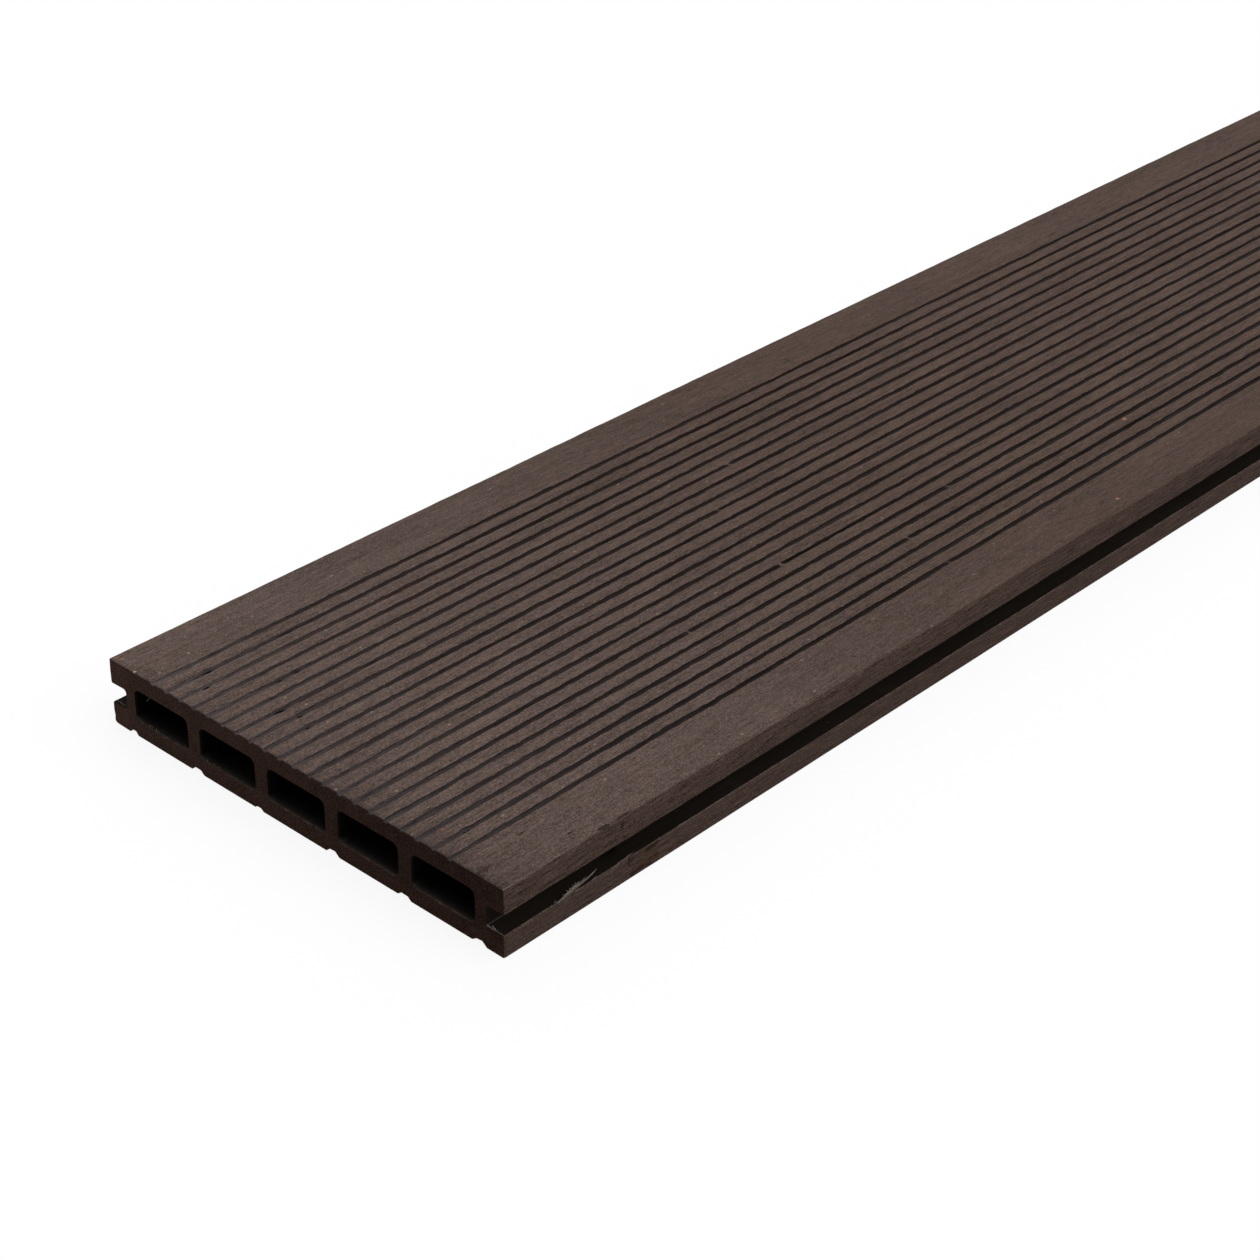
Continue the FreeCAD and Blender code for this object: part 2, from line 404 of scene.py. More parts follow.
@dataclass(frozen=True)
class DeckFinish(Finish):
    """Brushed rib tops, and the dark extruded skin that the brush left in the grooves."""

    rib_level: float
    half_length: float
    half_width: float
    margin: float
    name: str = "brushed_deck"
    grey_brown: Colour = (0.0925, 0.0678, 0.058)
    red_brown: Colour = (0.1058, 0.0703, 0.0585)
    plain_brown: Colour = (0.1017, 0.0666, 0.0520)
    pale_fibre: Colour = (0.24, 0.18, 0.145)
    pore: Colour = (0.028, 0.019, 0.016)
    # painted sheen: the groove skin's lighter, greyer colour at the sawn ends
    sheen_skin: Colour = (0.058, 0.046, 0.0454)
    dark_skin: Colour = (0.0105, 0.0058, 0.0045)
    arris_brown: Colour = (0.070, 0.047, 0.0385)
    # near black: painted shade on the groove walls and in their deepest places
    pit: Colour = (0.004, 0.003, 0.003)
    strokes: Grain = Grain((5.0, 0.32, 0.8), harshness=0.6)
    speckle: Grain = Grain((0.48, 0.30, 0.4), detail=1.0)
    hue: Grain = Grain((1.5, 0.7, 1.0))
    bands: Grain = Grain((40.0, 1.5, 4.0))
    mottle: Grain = Grain((30.0, 12.0, 9.0), detail=3.0)
    torn: Grain = Grain((8.0, 0.5, 1.0), harshness=0.6)
    ragged: Grain = Grain((0.9, 0.5, 0.6))
    patches: Grain = Grain((6.0, 2.6, 2.0))
    stretches: Grain = Grain((90.0, 2.6, 2.0), detail=1.0)
    pores: Flecks = Flecks((5.0, 1.0, 1.0), radius=0.20, share=0.10)
    fine_flecks: Flecks = Flecks((2.2, 1.5, 1.0), radius=0.14, share=0.30)
    bold_flecks: Flecks = Flecks((9.0, 6.0, 1.0), radius=0.05, share=0.22)
    darker_near_end_reach: float = 8.0
    torn_reach: float = 14.0
    # how far the painted sheen reaches from the sawn ends, and how far it stays lighter to the left
    painted_light_reach: float = 38.0
    left_sheen_reach: float = 40.0
    skin_reach: float = 60.0
    beside_grooves: Span = (50.0, 54.0)
    # Painted shade: the right margin's darkening, where it starts, and the falloff along the board.
    painted_shade_right: Span = (-35.0, -66.0)
    painted_shade_right_start: Span = (15.0, 60.0)
    painted_falloff_span: Span = (0.0, 200.0)
    plainer: Span = (70.0, 230.0)
    calmer: Span = (80.0, 260.0)
    worn_in: Span = (-48.0, 292.0)
    hues: Span = (-0.18, 0.18)
    tearing: Span = (0.08, 0.17)
    arris: Span = (0.4, 0.0)
    rubbed: Span = (0.7, 0.1)
    skin_depth: Span = (0.075, 0.125)
    wall_top: Span = (0.10, 0.20)
    wall_foot: Span = (0.50, 0.36)
    wall_patches: Span = (0.0, 0.12)
    pit_depth: Span = (0.78, 0.98)
    roughness: float = 0.86
    skin_gloss: float = 0.15
    specular: float = 0.06
    relief_height: float = 0.12 * MM
    marks: tuple[Blemish, ...] = (
        Blemish((2.3, -60.6, 19.0), (3.0, 1.0, ANY_DEPTH), TORN_DARK, 0.6),
        Blemish((17.5, -56.8, 19.0), (1.5, 0.4, ANY_DEPTH), TORN_DARK, 0.8),
        Blemish((25.6, -64.6, 19.0), (1.6, 0.35, ANY_DEPTH), TORN_DARK, 0.8),
        Blemish((32.2, -68.4, 19.0), (2.4, 0.5, ANY_DEPTH), TORN_DARK, 0.85),
        Blemish((38.0, -68.6, 19.0), (3.5, 0.4, ANY_DEPTH), TORN_DARK, 0.7),
        Blemish((285.0, -38.3, 19.0), (0.95, 0.7, ANY_DEPTH), RUST, 0.95),
        Blemish((242.9, -64.4, 19.0), (0.8, 0.6, ANY_DEPTH), RUST, 0.95),
        Blemish((6.6, -42.9, 19.0), (0.6, 0.38, ANY_DEPTH), RED, 0.8),
        Blemish((0.3, 59.3, 19.0), (0.45, 0.42, ANY_DEPTH), PALE, 0.9),
        Blemish((1.4, 67.6, 19.0), (0.9, 0.5, ANY_DEPTH), RUST, 0.4),
        Blemish((1.9, 66.3, 19.0), (0.9, 0.45, ANY_DEPTH), RUST, 0.45),
        Blemish((4.3, 54.5, 19.0), (0.5, 0.4, ANY_DEPTH), PALE, 0.35),
        Blemish((15.0, 56.5, 19.0), (0.45, 0.4, ANY_DEPTH), PALE, 0.45),
    )

    def _brightness(self, wiring: Wiring, at: DeckPlace) -> Value:
        """How light the brushed fibres are: streaked, a little darker right at the sawn ends, and darker
        farther from them and along the right margin as painted shade.

        Args:
            wiring: the finish's nodes.
            at: the place.

        Returns:
            A factor for their colour.
        """
        bands = wiring.grain(at.place, self.bands)
        mottle = wiring.grain(at.place, self.mottle)
        grain = 1.0 + at.strokes * 1.5 + at.speckle * 2.1 + abs(at.speckle) * 0.6
        streaks = grain + bands * 0.6 + mottle * 0.5
        # a little darker right at the sawn ends, more so towards the right
        darker_near_end = at.inward.fading(self.darker_near_end_reach) * (0.20 - at.across * 0.0033)
        # painted shade: darker along the right margin, away from the sawn ends
        right = at.across.step(*self.painted_shade_right) * at.inward.step(*self.painted_shade_right_start)
        # painted shade: the fibres get darker farther from the sawn ends, standing in for light that falls
        # off along the board
        painted_falloff = at.inward.step(*self.painted_falloff_span)
        return streaks * (1.01 - painted_falloff * 0.222 - darker_near_end - right * 0.04 - at.beside * 0.025)

    def _fibres(self, wiring: Wiring, at: DeckPlace) -> Value:
        """The colour of the brushed fibres.

        Args:
            wiring: the finish's nodes.
            at: the place.

        Returns:
            The colour, with torn places, pores and pale flecks.
        """
        hue = wiring.grain(at.place, self.hue)
        colour = wiring.blend(hue.step(*self.hues), self.grey_brown, self.red_brown)
        colour = wiring.blend(at.inward.step(*self.plainer) * 0.8, colour, self.plain_brown)
        colour = wiring.shade(colour, self._brightness(wiring, at))
        tearing = wiring.grain(at.place, self.torn).step(*self.tearing)
        tearing = tearing * at.inward.fading(self.torn_reach) * (0.4 + at.beside * 0.3)
        colour = wiring.blend(tearing, colour, self.pore)
        colour = wiring.blend(wiring.flecks(at.place, self.pores) * 0.45, colour, self.pore)
        clear = 1.0 - at.inward.step(*self.calmer) * 0.5
        for flecks, strength in ((self.fine_flecks, 0.35), (self.bold_flecks, 0.9)):
            shown = wiring.flecks(at.place, flecks) * clear * strength
            colour = wiring.blend(shown, colour, self.pale_fibre)
        return colour

    def _top(self, wiring: Wiring, at: DeckPlace, edge: Value) -> Value:
        """The brushed top with its worn edges and its marks.

        Args:
            wiring: the finish's nodes.
            at: the place.
            edge: how far it is from the nearer side.

        Returns:
            The colour.
        """
        top = self._fibres(wiring, at)
        top = wiring.blend((edge + at.strokes * 2.0).step(*self.arris) * 0.35, top, self.arris_brown)
        rubbed = edge.step(*self.rubbed) * at.inward.fading(self.torn_reach) * (0.35 + at.speckle)
        top = wiring.blend(rubbed, top, self.pale_fibre)
        near = wiring.from_near_end(at.place, self.half_length)
        return wiring.marked(near, top, self.marks, at.strokes + at.speckle)

    def _skin(self, wiring: Wiring, at: DeckPlace, depth: Value) -> Value:
        """The extruded skin in the grooves.

        Args:
            wiring: the finish's nodes.
            at: the place.
            depth: how far below the ribs it is.

        Returns:
            Its colour: lighter near the sawn ends and to the left as a painted sheen, darkened on its walls
                by painted shade, and darkest, as painted shade, where it is deep.
        """
        # painted sheen: the groove skin turns lighter towards the sawn ends, standing in for a reflection
        # of the light
        skin = wiring.blend(at.inward.fading(self.painted_light_reach), self.dark_skin, self.sheen_skin)
        patches = wiring.grain(at.place, self.patches)
        stretches = wiring.grain(at.place, self.stretches)
        # painted sheen: lighter towards the left side
        sheen_to_left = 1.0 + at.across * (at.inward.fading(self.left_sheen_reach) * 0.0034 + 0.0030)
        worn_skin = 1.0 + at.strokes * 1.3 + at.speckle * 1.3 + patches * 1.3 + stretches * 1.2
        skin = wiring.shade(skin, worn_skin * sheen_to_left)
        # painted shade: dark lines on the groove walls
        shaded_wall = depth.step(*self.wall_top) * depth.step(*self.wall_foot)
        skin = wiring.blend(shaded_wall * patches.step(*self.wall_patches) * 0.55, skin, self.pit)
        # painted shade: near black where the groove is deepest
        return wiring.blend(depth.step(*self.pit_depth), skin, self.pit)

    def surface(self, wiring: Wiring) -> Surface:
        """The nodes of this finish.

        Args:
            wiring: the material's node tree.

        Returns:
            What they give the shader.
        """
        place = wiring.place()
        along, across, level = wiring.axes(place)
        inward = wiring.inward(along, self.half_length)
        strokes = wiring.grain(place, self.strokes)
        worn_in = (inward + across * 0.8).step(*self.worn_in)
        speckle = wiring.grain(place, self.speckle) * (1.15 - worn_in * 0.55)
        beside = abs(across).step(*self.beside_grooves)
        at = DeckPlace(place, inward, across, beside, strokes, speckle)
        edge = self.half_width * PER_METRE_IN_MM - abs(across)
        depth = self.rib_level * PER_METRE_IN_MM - level
        ragged = wiring.grain(place, self.ragged)
        ragged_depth = depth - inward.fading(self.skin_reach) * 0.03 + ragged * 0.25
        skin_share = ragged_depth.step(*self.skin_depth)
        margin = self.margin * PER_METRE_IN_MM
        skin_share = skin_share * edge.step(margin - 3.0, margin - 2.0)
        colour = wiring.blend(skin_share, self._top(wiring, at, edge), self._skin(wiring, at, depth))
        roughness = self.roughness - skin_share * self.skin_gloss
        return Surface(colour, roughness, strokes * 0.6 + speckle * 0.5)


@dataclass(frozen=True)
class SideStain:
    """A stained or torn place of the right side: from the near end, up, its half lengths and its colour."""

    along: float
    level: float
    half_length: float
    half_height: float
    colour: Colour
    strength: float


@dataclass(frozen=True)
class SideFinish(Finish):
    """The planed side faces: brown, streaked along the board, with a few torn and stained places."""

    half_length: float
    right: float
    name: str = "streaked_side"
    brown: Colour = (0.0622, 0.0394, 0.0315)
    dark_streak: Colour = (0.036, 0.020, 0.015)
    pale_streak: Colour = (0.098, 0.070, 0.058)
    wide: Grain = Grain((30.0, 2.0, 0.8), detail=3.0, harshness=0.6)
    fine: Grain = Grain((9.0, 0.5, 0.32), harshness=0.6)
    speckle: Grain = Grain((0.7, 0.35, 0.28), detail=1.0)
    rougher: Span = (6.0, 12.5)
    streaks: Span = (0.06, 0.22)
    roughness: float = 0.84
    specular: float = 0.08
    relief_height: float = 0.10 * MM
    stains: tuple[SideStain, ...] = (
        SideStain(48.6, 2.0, 3.0, 1.9, STAIN_RUST, 0.8),
        SideStain(45.2, 2.2, 2.6, 1.9, STAIN_RUST, 0.7),
        SideStain(47.0, 4.6, 3.4, 1.5, STAIN_RUST, 0.7),
        SideStain(47.1, 5.5, 1.6, 0.9, STAIN_DARK, 0.9),
        SideStain(48.9, 5.6, 1.7, 0.9, STAIN_DARK, 0.9),
        SideStain(50.1, 5.9, 1.2, 0.6, STAIN_DARK, 0.8),
        SideStain(49.6, 2.5, 1.3, 0.65, STAIN_DARK, 0.8),
        SideStain(47.6, 2.5, 0.9, 0.60, STAIN_DARK, 0.6),
        SideStain(47.0, 1.0, 1.9, 0.8, STAIN_DARK, 0.7),
        SideStain(44.2, 1.5, 2.2, 0.7, STAIN_DARK, 0.8),
        SideStain(43.7, 3.6, 1.6, 0.60, STAIN_DARK, 0.6),
        SideStain(57.5, 1.9, 1.6, 0.40, STAIN_DARK, 0.5),
        SideStain(55.0, 1.4, 1.4, 0.40, STAIN_DARK, 0.5),
        SideStain(40.6, 4.9, 0.75, 1.9, TORN_DARK, 0.9),
        SideStain(41.8, 1.15, 1.5, 0.9, TORN_DARK, 0.85),
        SideStain(37.9, 16.9, 0.55, 1.3, TORN_DARK, 0.8),
        SideStain(54.3, 15.1, 2.0, 0.3, TORN_DARK, 0.75),
        SideStain(39.0, 13.0, 0.9, 0.5, TORN_DARK, 0.7),
        SideStain(32.4, 18.6, 2.0, 0.45, TORN_DARK, 0.7),
    )

    def _marks(self) -> list[Blemish]:
        """The torn and stained places of the right side.

        Returns:
            Them as marks on the skin.
        """
        marks = []
        for stain in self.stains:
            centre = (stain.along, self.right * PER_METRE_IN_MM, stain.level)
            reach = (stain.half_length, ANY_DEPTH, stain.half_height)
            marks.append(Blemish(centre, reach, stain.colour, stain.strength))
        return marks

    def surface(self, wiring: Wiring) -> Surface:
        """The nodes of this finish.

        Args:
            wiring: the material's node tree.

        Returns:
            What they give the shader.
        """
        place = wiring.place()
        wide = wiring.grain(place, self.wide)
        fine = wiring.grain(place, self.fine)
        speckle = wiring.grain(place, self.speckle)
        _, _, level = wiring.axes(place)
        rough = 0.83 + level.step(*self.rougher) * 0.17
        colour = wiring.shade(self.brown, 1.0 + (fine * 3.5 + speckle * 2.7) * rough + wide * 1.0)
        colour = wiring.blend(wide.step(*self.streaks) * 0.5, colour, self.dark_streak)
        colour = wiring.blend((0.0 - wide).step(*self.streaks) * 0.4, colour, self.pale_streak)
        near_place = wiring.from_near_end(place, self.half_length)
        colour = wiring.marked(near_place, colour, self._marks(), fine * 1.0 + speckle * 1.1)
        relief = fine * 0.6 + speckle * 0.4
        return Surface(colour, self.roughness, relief)


@dataclass(frozen=True)
class SlotFinish(Finish):
    """The slot's own extruded skin: nearly black, with saw dust in its lower corner near the ends."""

    half_length: float
    back: float
    depth: float
    floor: float
    name: str = "slot_skin"
    skin: Colour = (0.0085, 0.0065, 0.0052)
    dust: Colour = (0.085, 0.080, 0.075)
    drawn: Grain = Grain((28.0, 0.5, 0.5))
    speckle: Grain = Grain((0.6, 0.4, 0.4), harshness=0.7)
    flecks: Flecks = Flecks((6.0, 2.0, 1.0), radius=0.08, share=0.2)
    corner: Span = (0.45, 0.15)
    dust_end: Span = (14.0, 7.0)
    roughness: float = 0.75
    specular: float = 0.02
    relief_height: float = 0.04 * MM

    def surface(self, wiring: Wiring) -> Surface:
        """The nodes of this finish.

        Args:
            wiring: the material's node tree.

        Returns:
            What they give the shader.
        """
        place = wiring.place()
        along, across, level = wiring.axes(place)
        drawn = wiring.grain(place, self.drawn)
        speckle = wiring.grain(place, self.speckle)
        flecks = wiring.flecks(place, self.flecks)
        outward = abs(across) - self.back * PER_METRE_IN_MM
        deep = 1.0 - outward * (1.0 / (self.depth * PER_METRE_IN_MM))
        colour = wiring.shade(self.skin, (1.0 + drawn * 0.9 + speckle * 0.9) * (0.8 + deep * 1.4))
        colour = wiring.blend(flecks * 0.3, colour, self.dust)
        inward = wiring.inward(along, self.half_length)
        above = level - self.floor * PER_METRE_IN_MM
        corner = outward.step(*self.corner) * above.step(*self.corner) * inward.step(*self.dust_end)
        colour = wiring.blend(corner, colour, self.dust)
        return Surface(colour, self.roughness, drawn)


@dataclass(frozen=True)
class UndersideFinish(Finish):
    """The unbrushed underside, with the lines that the die drew along it."""

    name: str = "drawn_underside"
    skin: Colour = (0.056, 0.038, 0.031)
    pale_line: Colour = (0.100, 0.074, 0.062)
    pore: Colour = (0.022, 0.015, 0.012)
    lines: Grain = Grain((120.0, 0.55, 3.0), detail=3.0, harshness=0.6)
    bands: Grain = Grain((220.0, 5.0, 6.0))
    clouds: Grain = Grain((60.0, 20.0, 20.0), detail=3.0)
    speckle: Grain = Grain((0.8, 0.45, 0.5), detail=1.0)
    pores: Flecks = Flecks((7.0, 1.2, 1.0), radius=0.2, share=0.12)
    in_grooves: Span = (0.15, 0.9)
    drawn: Span = (0.06, 0.2)
    roughness: float = 0.72
    specular: float = 0.12
    relief_height: float = 0.08 * MM

    def surface(self, wiring: Wiring) -> Surface:
        """The nodes of this finish.

        Args:
            wiring: the material's node tree.

        Returns:
            What they give the shader.
        """
        place = wiring.place()
        lines = wiring.grain(place, self.lines)
        bands = wiring.grain(place, self.bands)
        clouds = wiring.grain(place, self.clouds)
        speckle = wiring.grain(place, self.speckle)
        _, _, level = wiring.axes(place)
        brightness = 1.0 + lines * 1.4 + bands * 0.6 + clouds * 0.5 + speckle * 1.4
        colour = wiring.shade(self.skin, brightness * (1.0 - level.step(*self.in_grooves) * 0.35))
        colour = wiring.blend(lines.step(*self.drawn) * 0.4, colour, self.pale_line)
        colour = wiring.blend(wiring.flecks(place, self.pores) * 0.6, colour, self.pore)
        roughness = self.roughness + clouds * 0.15
        return Surface(colour, roughness, lines + speckle * 0.3)


@dataclass(frozen=True)
class SawnEndFinish(Finish):
    """The sawn ends: matte dark brown, mottled, with fine fibre specks and faint saw marks, lighter towards
    the bottom as painted bounce light.
    """

    half_width: float
    name: str = "sawn_end"
    brown: Colour = (0.040, 0.0206, 0.0150)
    fibre: Colour = (0.085, 0.062, 0.054)
    mottle: Grain = Grain((8.0, 4.0, 2.5), detail=3.0)
    speckle: Grain = Grain((0.5, 0.6, 0.35), harshness=0.6)
    marks: Grain = Grain((5.0, 0.45, 14.0), detail=1.0)
    specks: Flecks = Flecks((1.9, 1.5, 1.0), radius=0.16, share=0.35)
    left_edge: Span = (11.0, 2.0)
    # where the end gets lighter towards the bottom: painted bounce light from the floor
    foot: Span = (8.0, 2.0)
    roughness: float = 0.92
    specular: float = 0.05
    relief_height: float = 0.10 * MM

    def surface(self, wiring: Wiring) -> Surface:
        """The nodes of this finish.

        Args:
            wiring: the material's node tree.

        Returns:
            What they give the shader.
        """
        place = wiring.place()
        _, across, level = wiring.axes(place)
        half = self.half_width * PER_METRE_IN_MM
        left_edge = across.step(*(half - inset for inset in self.left_edge))
        # lighter towards the left and at the left edge, and lighter towards the bottom as painted bounce
        # light from the floor
        lighter_low_and_left = 1.0 + across * (0.30 / half) + left_edge * 0.45 + level.step(*self.foot) * 0.40
        plane = wiring.node("ShaderNodeCombineXYZ", None, {"X": across, "Y": level})
        mottle = wiring.grain(place, self.mottle)
        speckle = wiring.grain(place, self.speckle)
        marks = wiring.grain(place, self.marks)
        colour = wiring.shade(self.brown, lighter_low_and_left * (1.0 + mottle * 1.2 + speckle * 4.4 + marks * 0.6))
        colour = wiring.blend(wiring.flecks(plane, self.specks) * 0.5, colour, self.fibre)
        colour = wiring.blend(across.step(-half, half) * 0.14, colour, self.fibre)
        relief = speckle * 0.6 + marks * 0.4
        return Surface(colour, self.roughness, relief)


@dataclass(frozen=True)
class ChamberFinish(Finish):
    """The inside of the chambers: dark skin that the mandrel left, with saw dust and painted light at the
    mouths, most on the floors, and painted shade deeper in.
    """

    half_length: float
    floor: float
    name: str = "chamber_skin"
    skin: Colour = (0.016, 0.0135, 0.012)
    lines: Grain = Grain((60.0, 0.6, 0.6))
    speckle: Grain = Grain((0.7, 0.45, 0.45), harshness=0.7)
    # how far the painted light reaches into the chambers from their mouths
    painted_light_reach: float = 1.9
    lying: Span = (1.6, 0.1)
    roughness: float = 0.75
    specular: float = 0.02
    relief_height: float = 0.05 * MM

    def surface(self, wiring: Wiring) -> Surface:
        """The nodes of this finish.

        Args:
            wiring: the material's node tree.

        Returns:
            What they give the shader.
        """
        place = wiring.place()
        lines = wiring.grain(place, self.lines)
        speckle = wiring.grain(place, self.speckle)
        along, _, level = wiring.axes(place)
        inward = wiring.inward(along, self.half_length)
        lying = (level - self.floor * PER_METRE_IN_MM).step(*self.lying)
        # saw dust and painted light near the mouths, most on the floor, fading within a few millimetres to
        # painted shade deeper in
        dust_and_painted_light = inward.fading(self.painted_light_reach) * (0.4 + lying * 3.0) + 0.03
        colour = wiring.shade(self.skin, (1.0 + lines * 0.6 + speckle * 0.9) * dust_and_painted_light)
        return Surface(colour, self.roughness, lines)


@dataclass(frozen=True)
class WornEdgeHighlightFinish(Finish):
    """Edges where the skin has worn through to paler fibres, here and there, partly a painted highlight on
    the edges that face up.
    """

    name: str = "worn_edge_highlight"
    brown: Colour = (0.054, 0.035, 0.028)
    pale: Colour = (0.098, 0.074, 0.062)
    patches: Grain = Grain((7.0, 2.5, 2.5), detail=3.0, harshness=0.7)
    worn: Span = (-0.06, 0.12)
    speckle: Grain = Grain((0.6, 0.4, 0.4), detail=1.0)
    roughness: float = 0.88
    specular: float = 0.06
    relief_height: float = 0.08 * MM

    def surface(self, wiring: Wiring) -> Surface:
        """The nodes of this finish.

        Args:
            wiring: the material's node tree.

        Returns:
            What they give the shader.
        """
        place = wiring.place()
        patches = wiring.grain(place, self.patches)
        speckle = wiring.grain(place, self.speckle)
        # pale patches: partly worn fibre, partly a painted highlight on edges that face up to the light
        colour = wiring.blend((patches + speckle * 0.6).step(*self.worn), self.brown, self.pale)
        return Surface(colour, self.roughness, speckle)


@dataclass(frozen=True)
class TornFibreFinish(Finish):
    """Freshly torn fibres: paler and greyer than the skin they came from."""

    name: str = "torn_fibre"
    pale: Colour = (0.185, 0.150, 0.132)
    brown: Colour = (0.085, 0.063, 0.054)
    strands: Grain = Grain((2.5, 0.3, 0.3), detail=3.0, harshness=0.6)
    paler: Span = (-0.15, 0.2)
    roughness: float = 0.88
    specular: float = 0.06
    relief_height: float = 0.05 * MM

    def surface(self, wiring: Wiring) -> Surface:
        """The nodes of this finish.

        Args:
            wiring: the material's node tree.

        Returns:
            What they give the shader.
        """
        strands = wiring.grain(wiring.place(), self.strands)
        colour = wiring.blend(strands.step(*self.paler), self.brown, self.pale)
        return Surface(colour, self.roughness, strands)


@dataclass(frozen=True)
class SawBurrFinish(TornFibreFinish):
    """The saw's burrs: palest of all, partly their own pale fibres and partly painted light, since they
    stand in shade.
    """

    name: str = "saw_burr"
    pale: Colour = (0.36, 0.30, 0.265)
    brown: Colour = (0.16, 0.125, 0.108)


@dataclass(frozen=True)
class Waver:
    """Seeded smooth waviness along the board, as waves of a length and a height each."""

    seed: int
    waves: tuple[Span, ...]

    def along(self, stations: np.ndarray, key: int) -> np.ndarray:
        """How far a line strays at each station.

        Args:
            stations: places along the board, from its near end.
            key: a number of its own for each line.

        Returns:
            One offset for each station.
        """
        rng = np.random.default_rng((self.seed, key))
        total = np.zeros_like(stations)
        for length, height in self.waves:
            steps = stations / length + rng.random()
            knots = rng.standard_normal(int(steps.max()) + 2)
            before = steps.astype(int)
            share = steps - before
            share = share * share * (3 - 2 * share)
            total += height * (knots[before] * (1 - share) + knots[before + 1] * share)
        return total


class Shell:
    """Gathers the points and faces of one mesh, with the zone of each face."""

    def __init__(self) -> None:
        """Starts empty."""
        self.points: list[Point] = []
        self.faces: list[tuple[int, ...]] = []
        self.zones: list[int] = []

    def add_points(self, points: Sequence[Sequence[float]]) -> list[int]:
        """Adds points.

        Args:
            points: where they are.

        Returns:
            Their numbers.
        """
        first = len(self.points)
        self.points.extend(tuple(point) for point in points)
        return list(range(first, len(self.points)))

    def add_face(self, corners: Sequence[int], zone: int) -> None:
        """Adds one face."""
        self.faces.append(tuple(corners))
        self.zones.append(zone)

    def bridge(self, ring: Sequence[int], following: Sequence[int], zones: Sequence[int]) -> None:
        """Joins two rings of as many points with a strip of faces.

        Args:
            ring: the points of the first ring.
            following: those of the next one.
            zones: the zone of the face after each point.
        """
        count = len(ring)
        for column in range(count):
            after = (column + 1) % count
            corners = (ring[column], ring[after], following[after], following[column])
            self.add_face(corners, zones[column])

    def close(self, loops: Sequence[Sequence[int]], facing: float, zone: int) -> None:
        """Fills a flat end across the board, with holes.

        Args:
            loops: the outer loop, then the loops of the holes.
            facing: the sign of X that the end looks towards.
            zone: the zone of its faces.
        """
        numbers = [number for loop in loops for number in loop]
        flat = [[Vector((self.points[n][1], self.points[n][2], 0.0)) for n in loop] for loop in loops]
        for triangle in tessellate_polygon(flat):
            corners = [numbers[corner] for corner in triangle]
            a, b, c = (Vector(self.points[corner]) for corner in corners)
            if (b - a).cross(c - a).x * facing < 0:
                corners.reverse()
            self.add_face(corners, zone)

    def to_object(
        self, name: str, materials: Sequence[bpy.types.Material], crease: float
    ) -> bpy.types.Object:
        """Makes the mesh.

        Args:
            name: the piece's name.
            materials: one material for each zone.
            crease: the angle in degrees past which an edge is sharp.

        Returns:
            The new object, in the scene.
        """
        mesh = bpy.data.meshes.new(name)
        mesh.from_pydata(self.points, [], self.faces)
        for material in materials:
            mesh.materials.append(material)
        mesh.polygons.foreach_set("material_index", self.zones)
        mesh.polygons.foreach_set("use_smooth", [zone != Zone.UNDERSIDE for zone in self.zones])
        mesh.set_sharp_from_angle(angle=math.radians(crease))
        mesh.update()
        made = bpy.data.objects.new(name, mesh)
        bpy.context.scene.collection.objects.link(made)
        return made


def dress(piece: bpy.types.Object) -> None:
    """Lets a piece ride on the board's body.

    Args:
        piece: the finished piece.
    """
    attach(piece, BODY)
    log.info("%s: %d faces", piece.name, len(piece.data.polygons))


@dataclass(frozen=True)
class GrooveMark:
    """A place in one groove, counted from the right side: how far from the near end, and how long."""

    groove: int
    along: float
    length: float


@dataclass(frozen=True)
class SideMark:
    """A torn place on the right side, from the near end: its levels, its depth and how far it lifts."""

    along: float
    length: float
    low: float
    high: float
    depth: float
    lift: float = 0.0


@dataclass(frozen=True)
class ReliefMark:
    """An underside groove that is smaller at the near end: its shift, and its shares of the full size."""

    number: int
    shift: float
    width: float
    depth: float
    reach: float


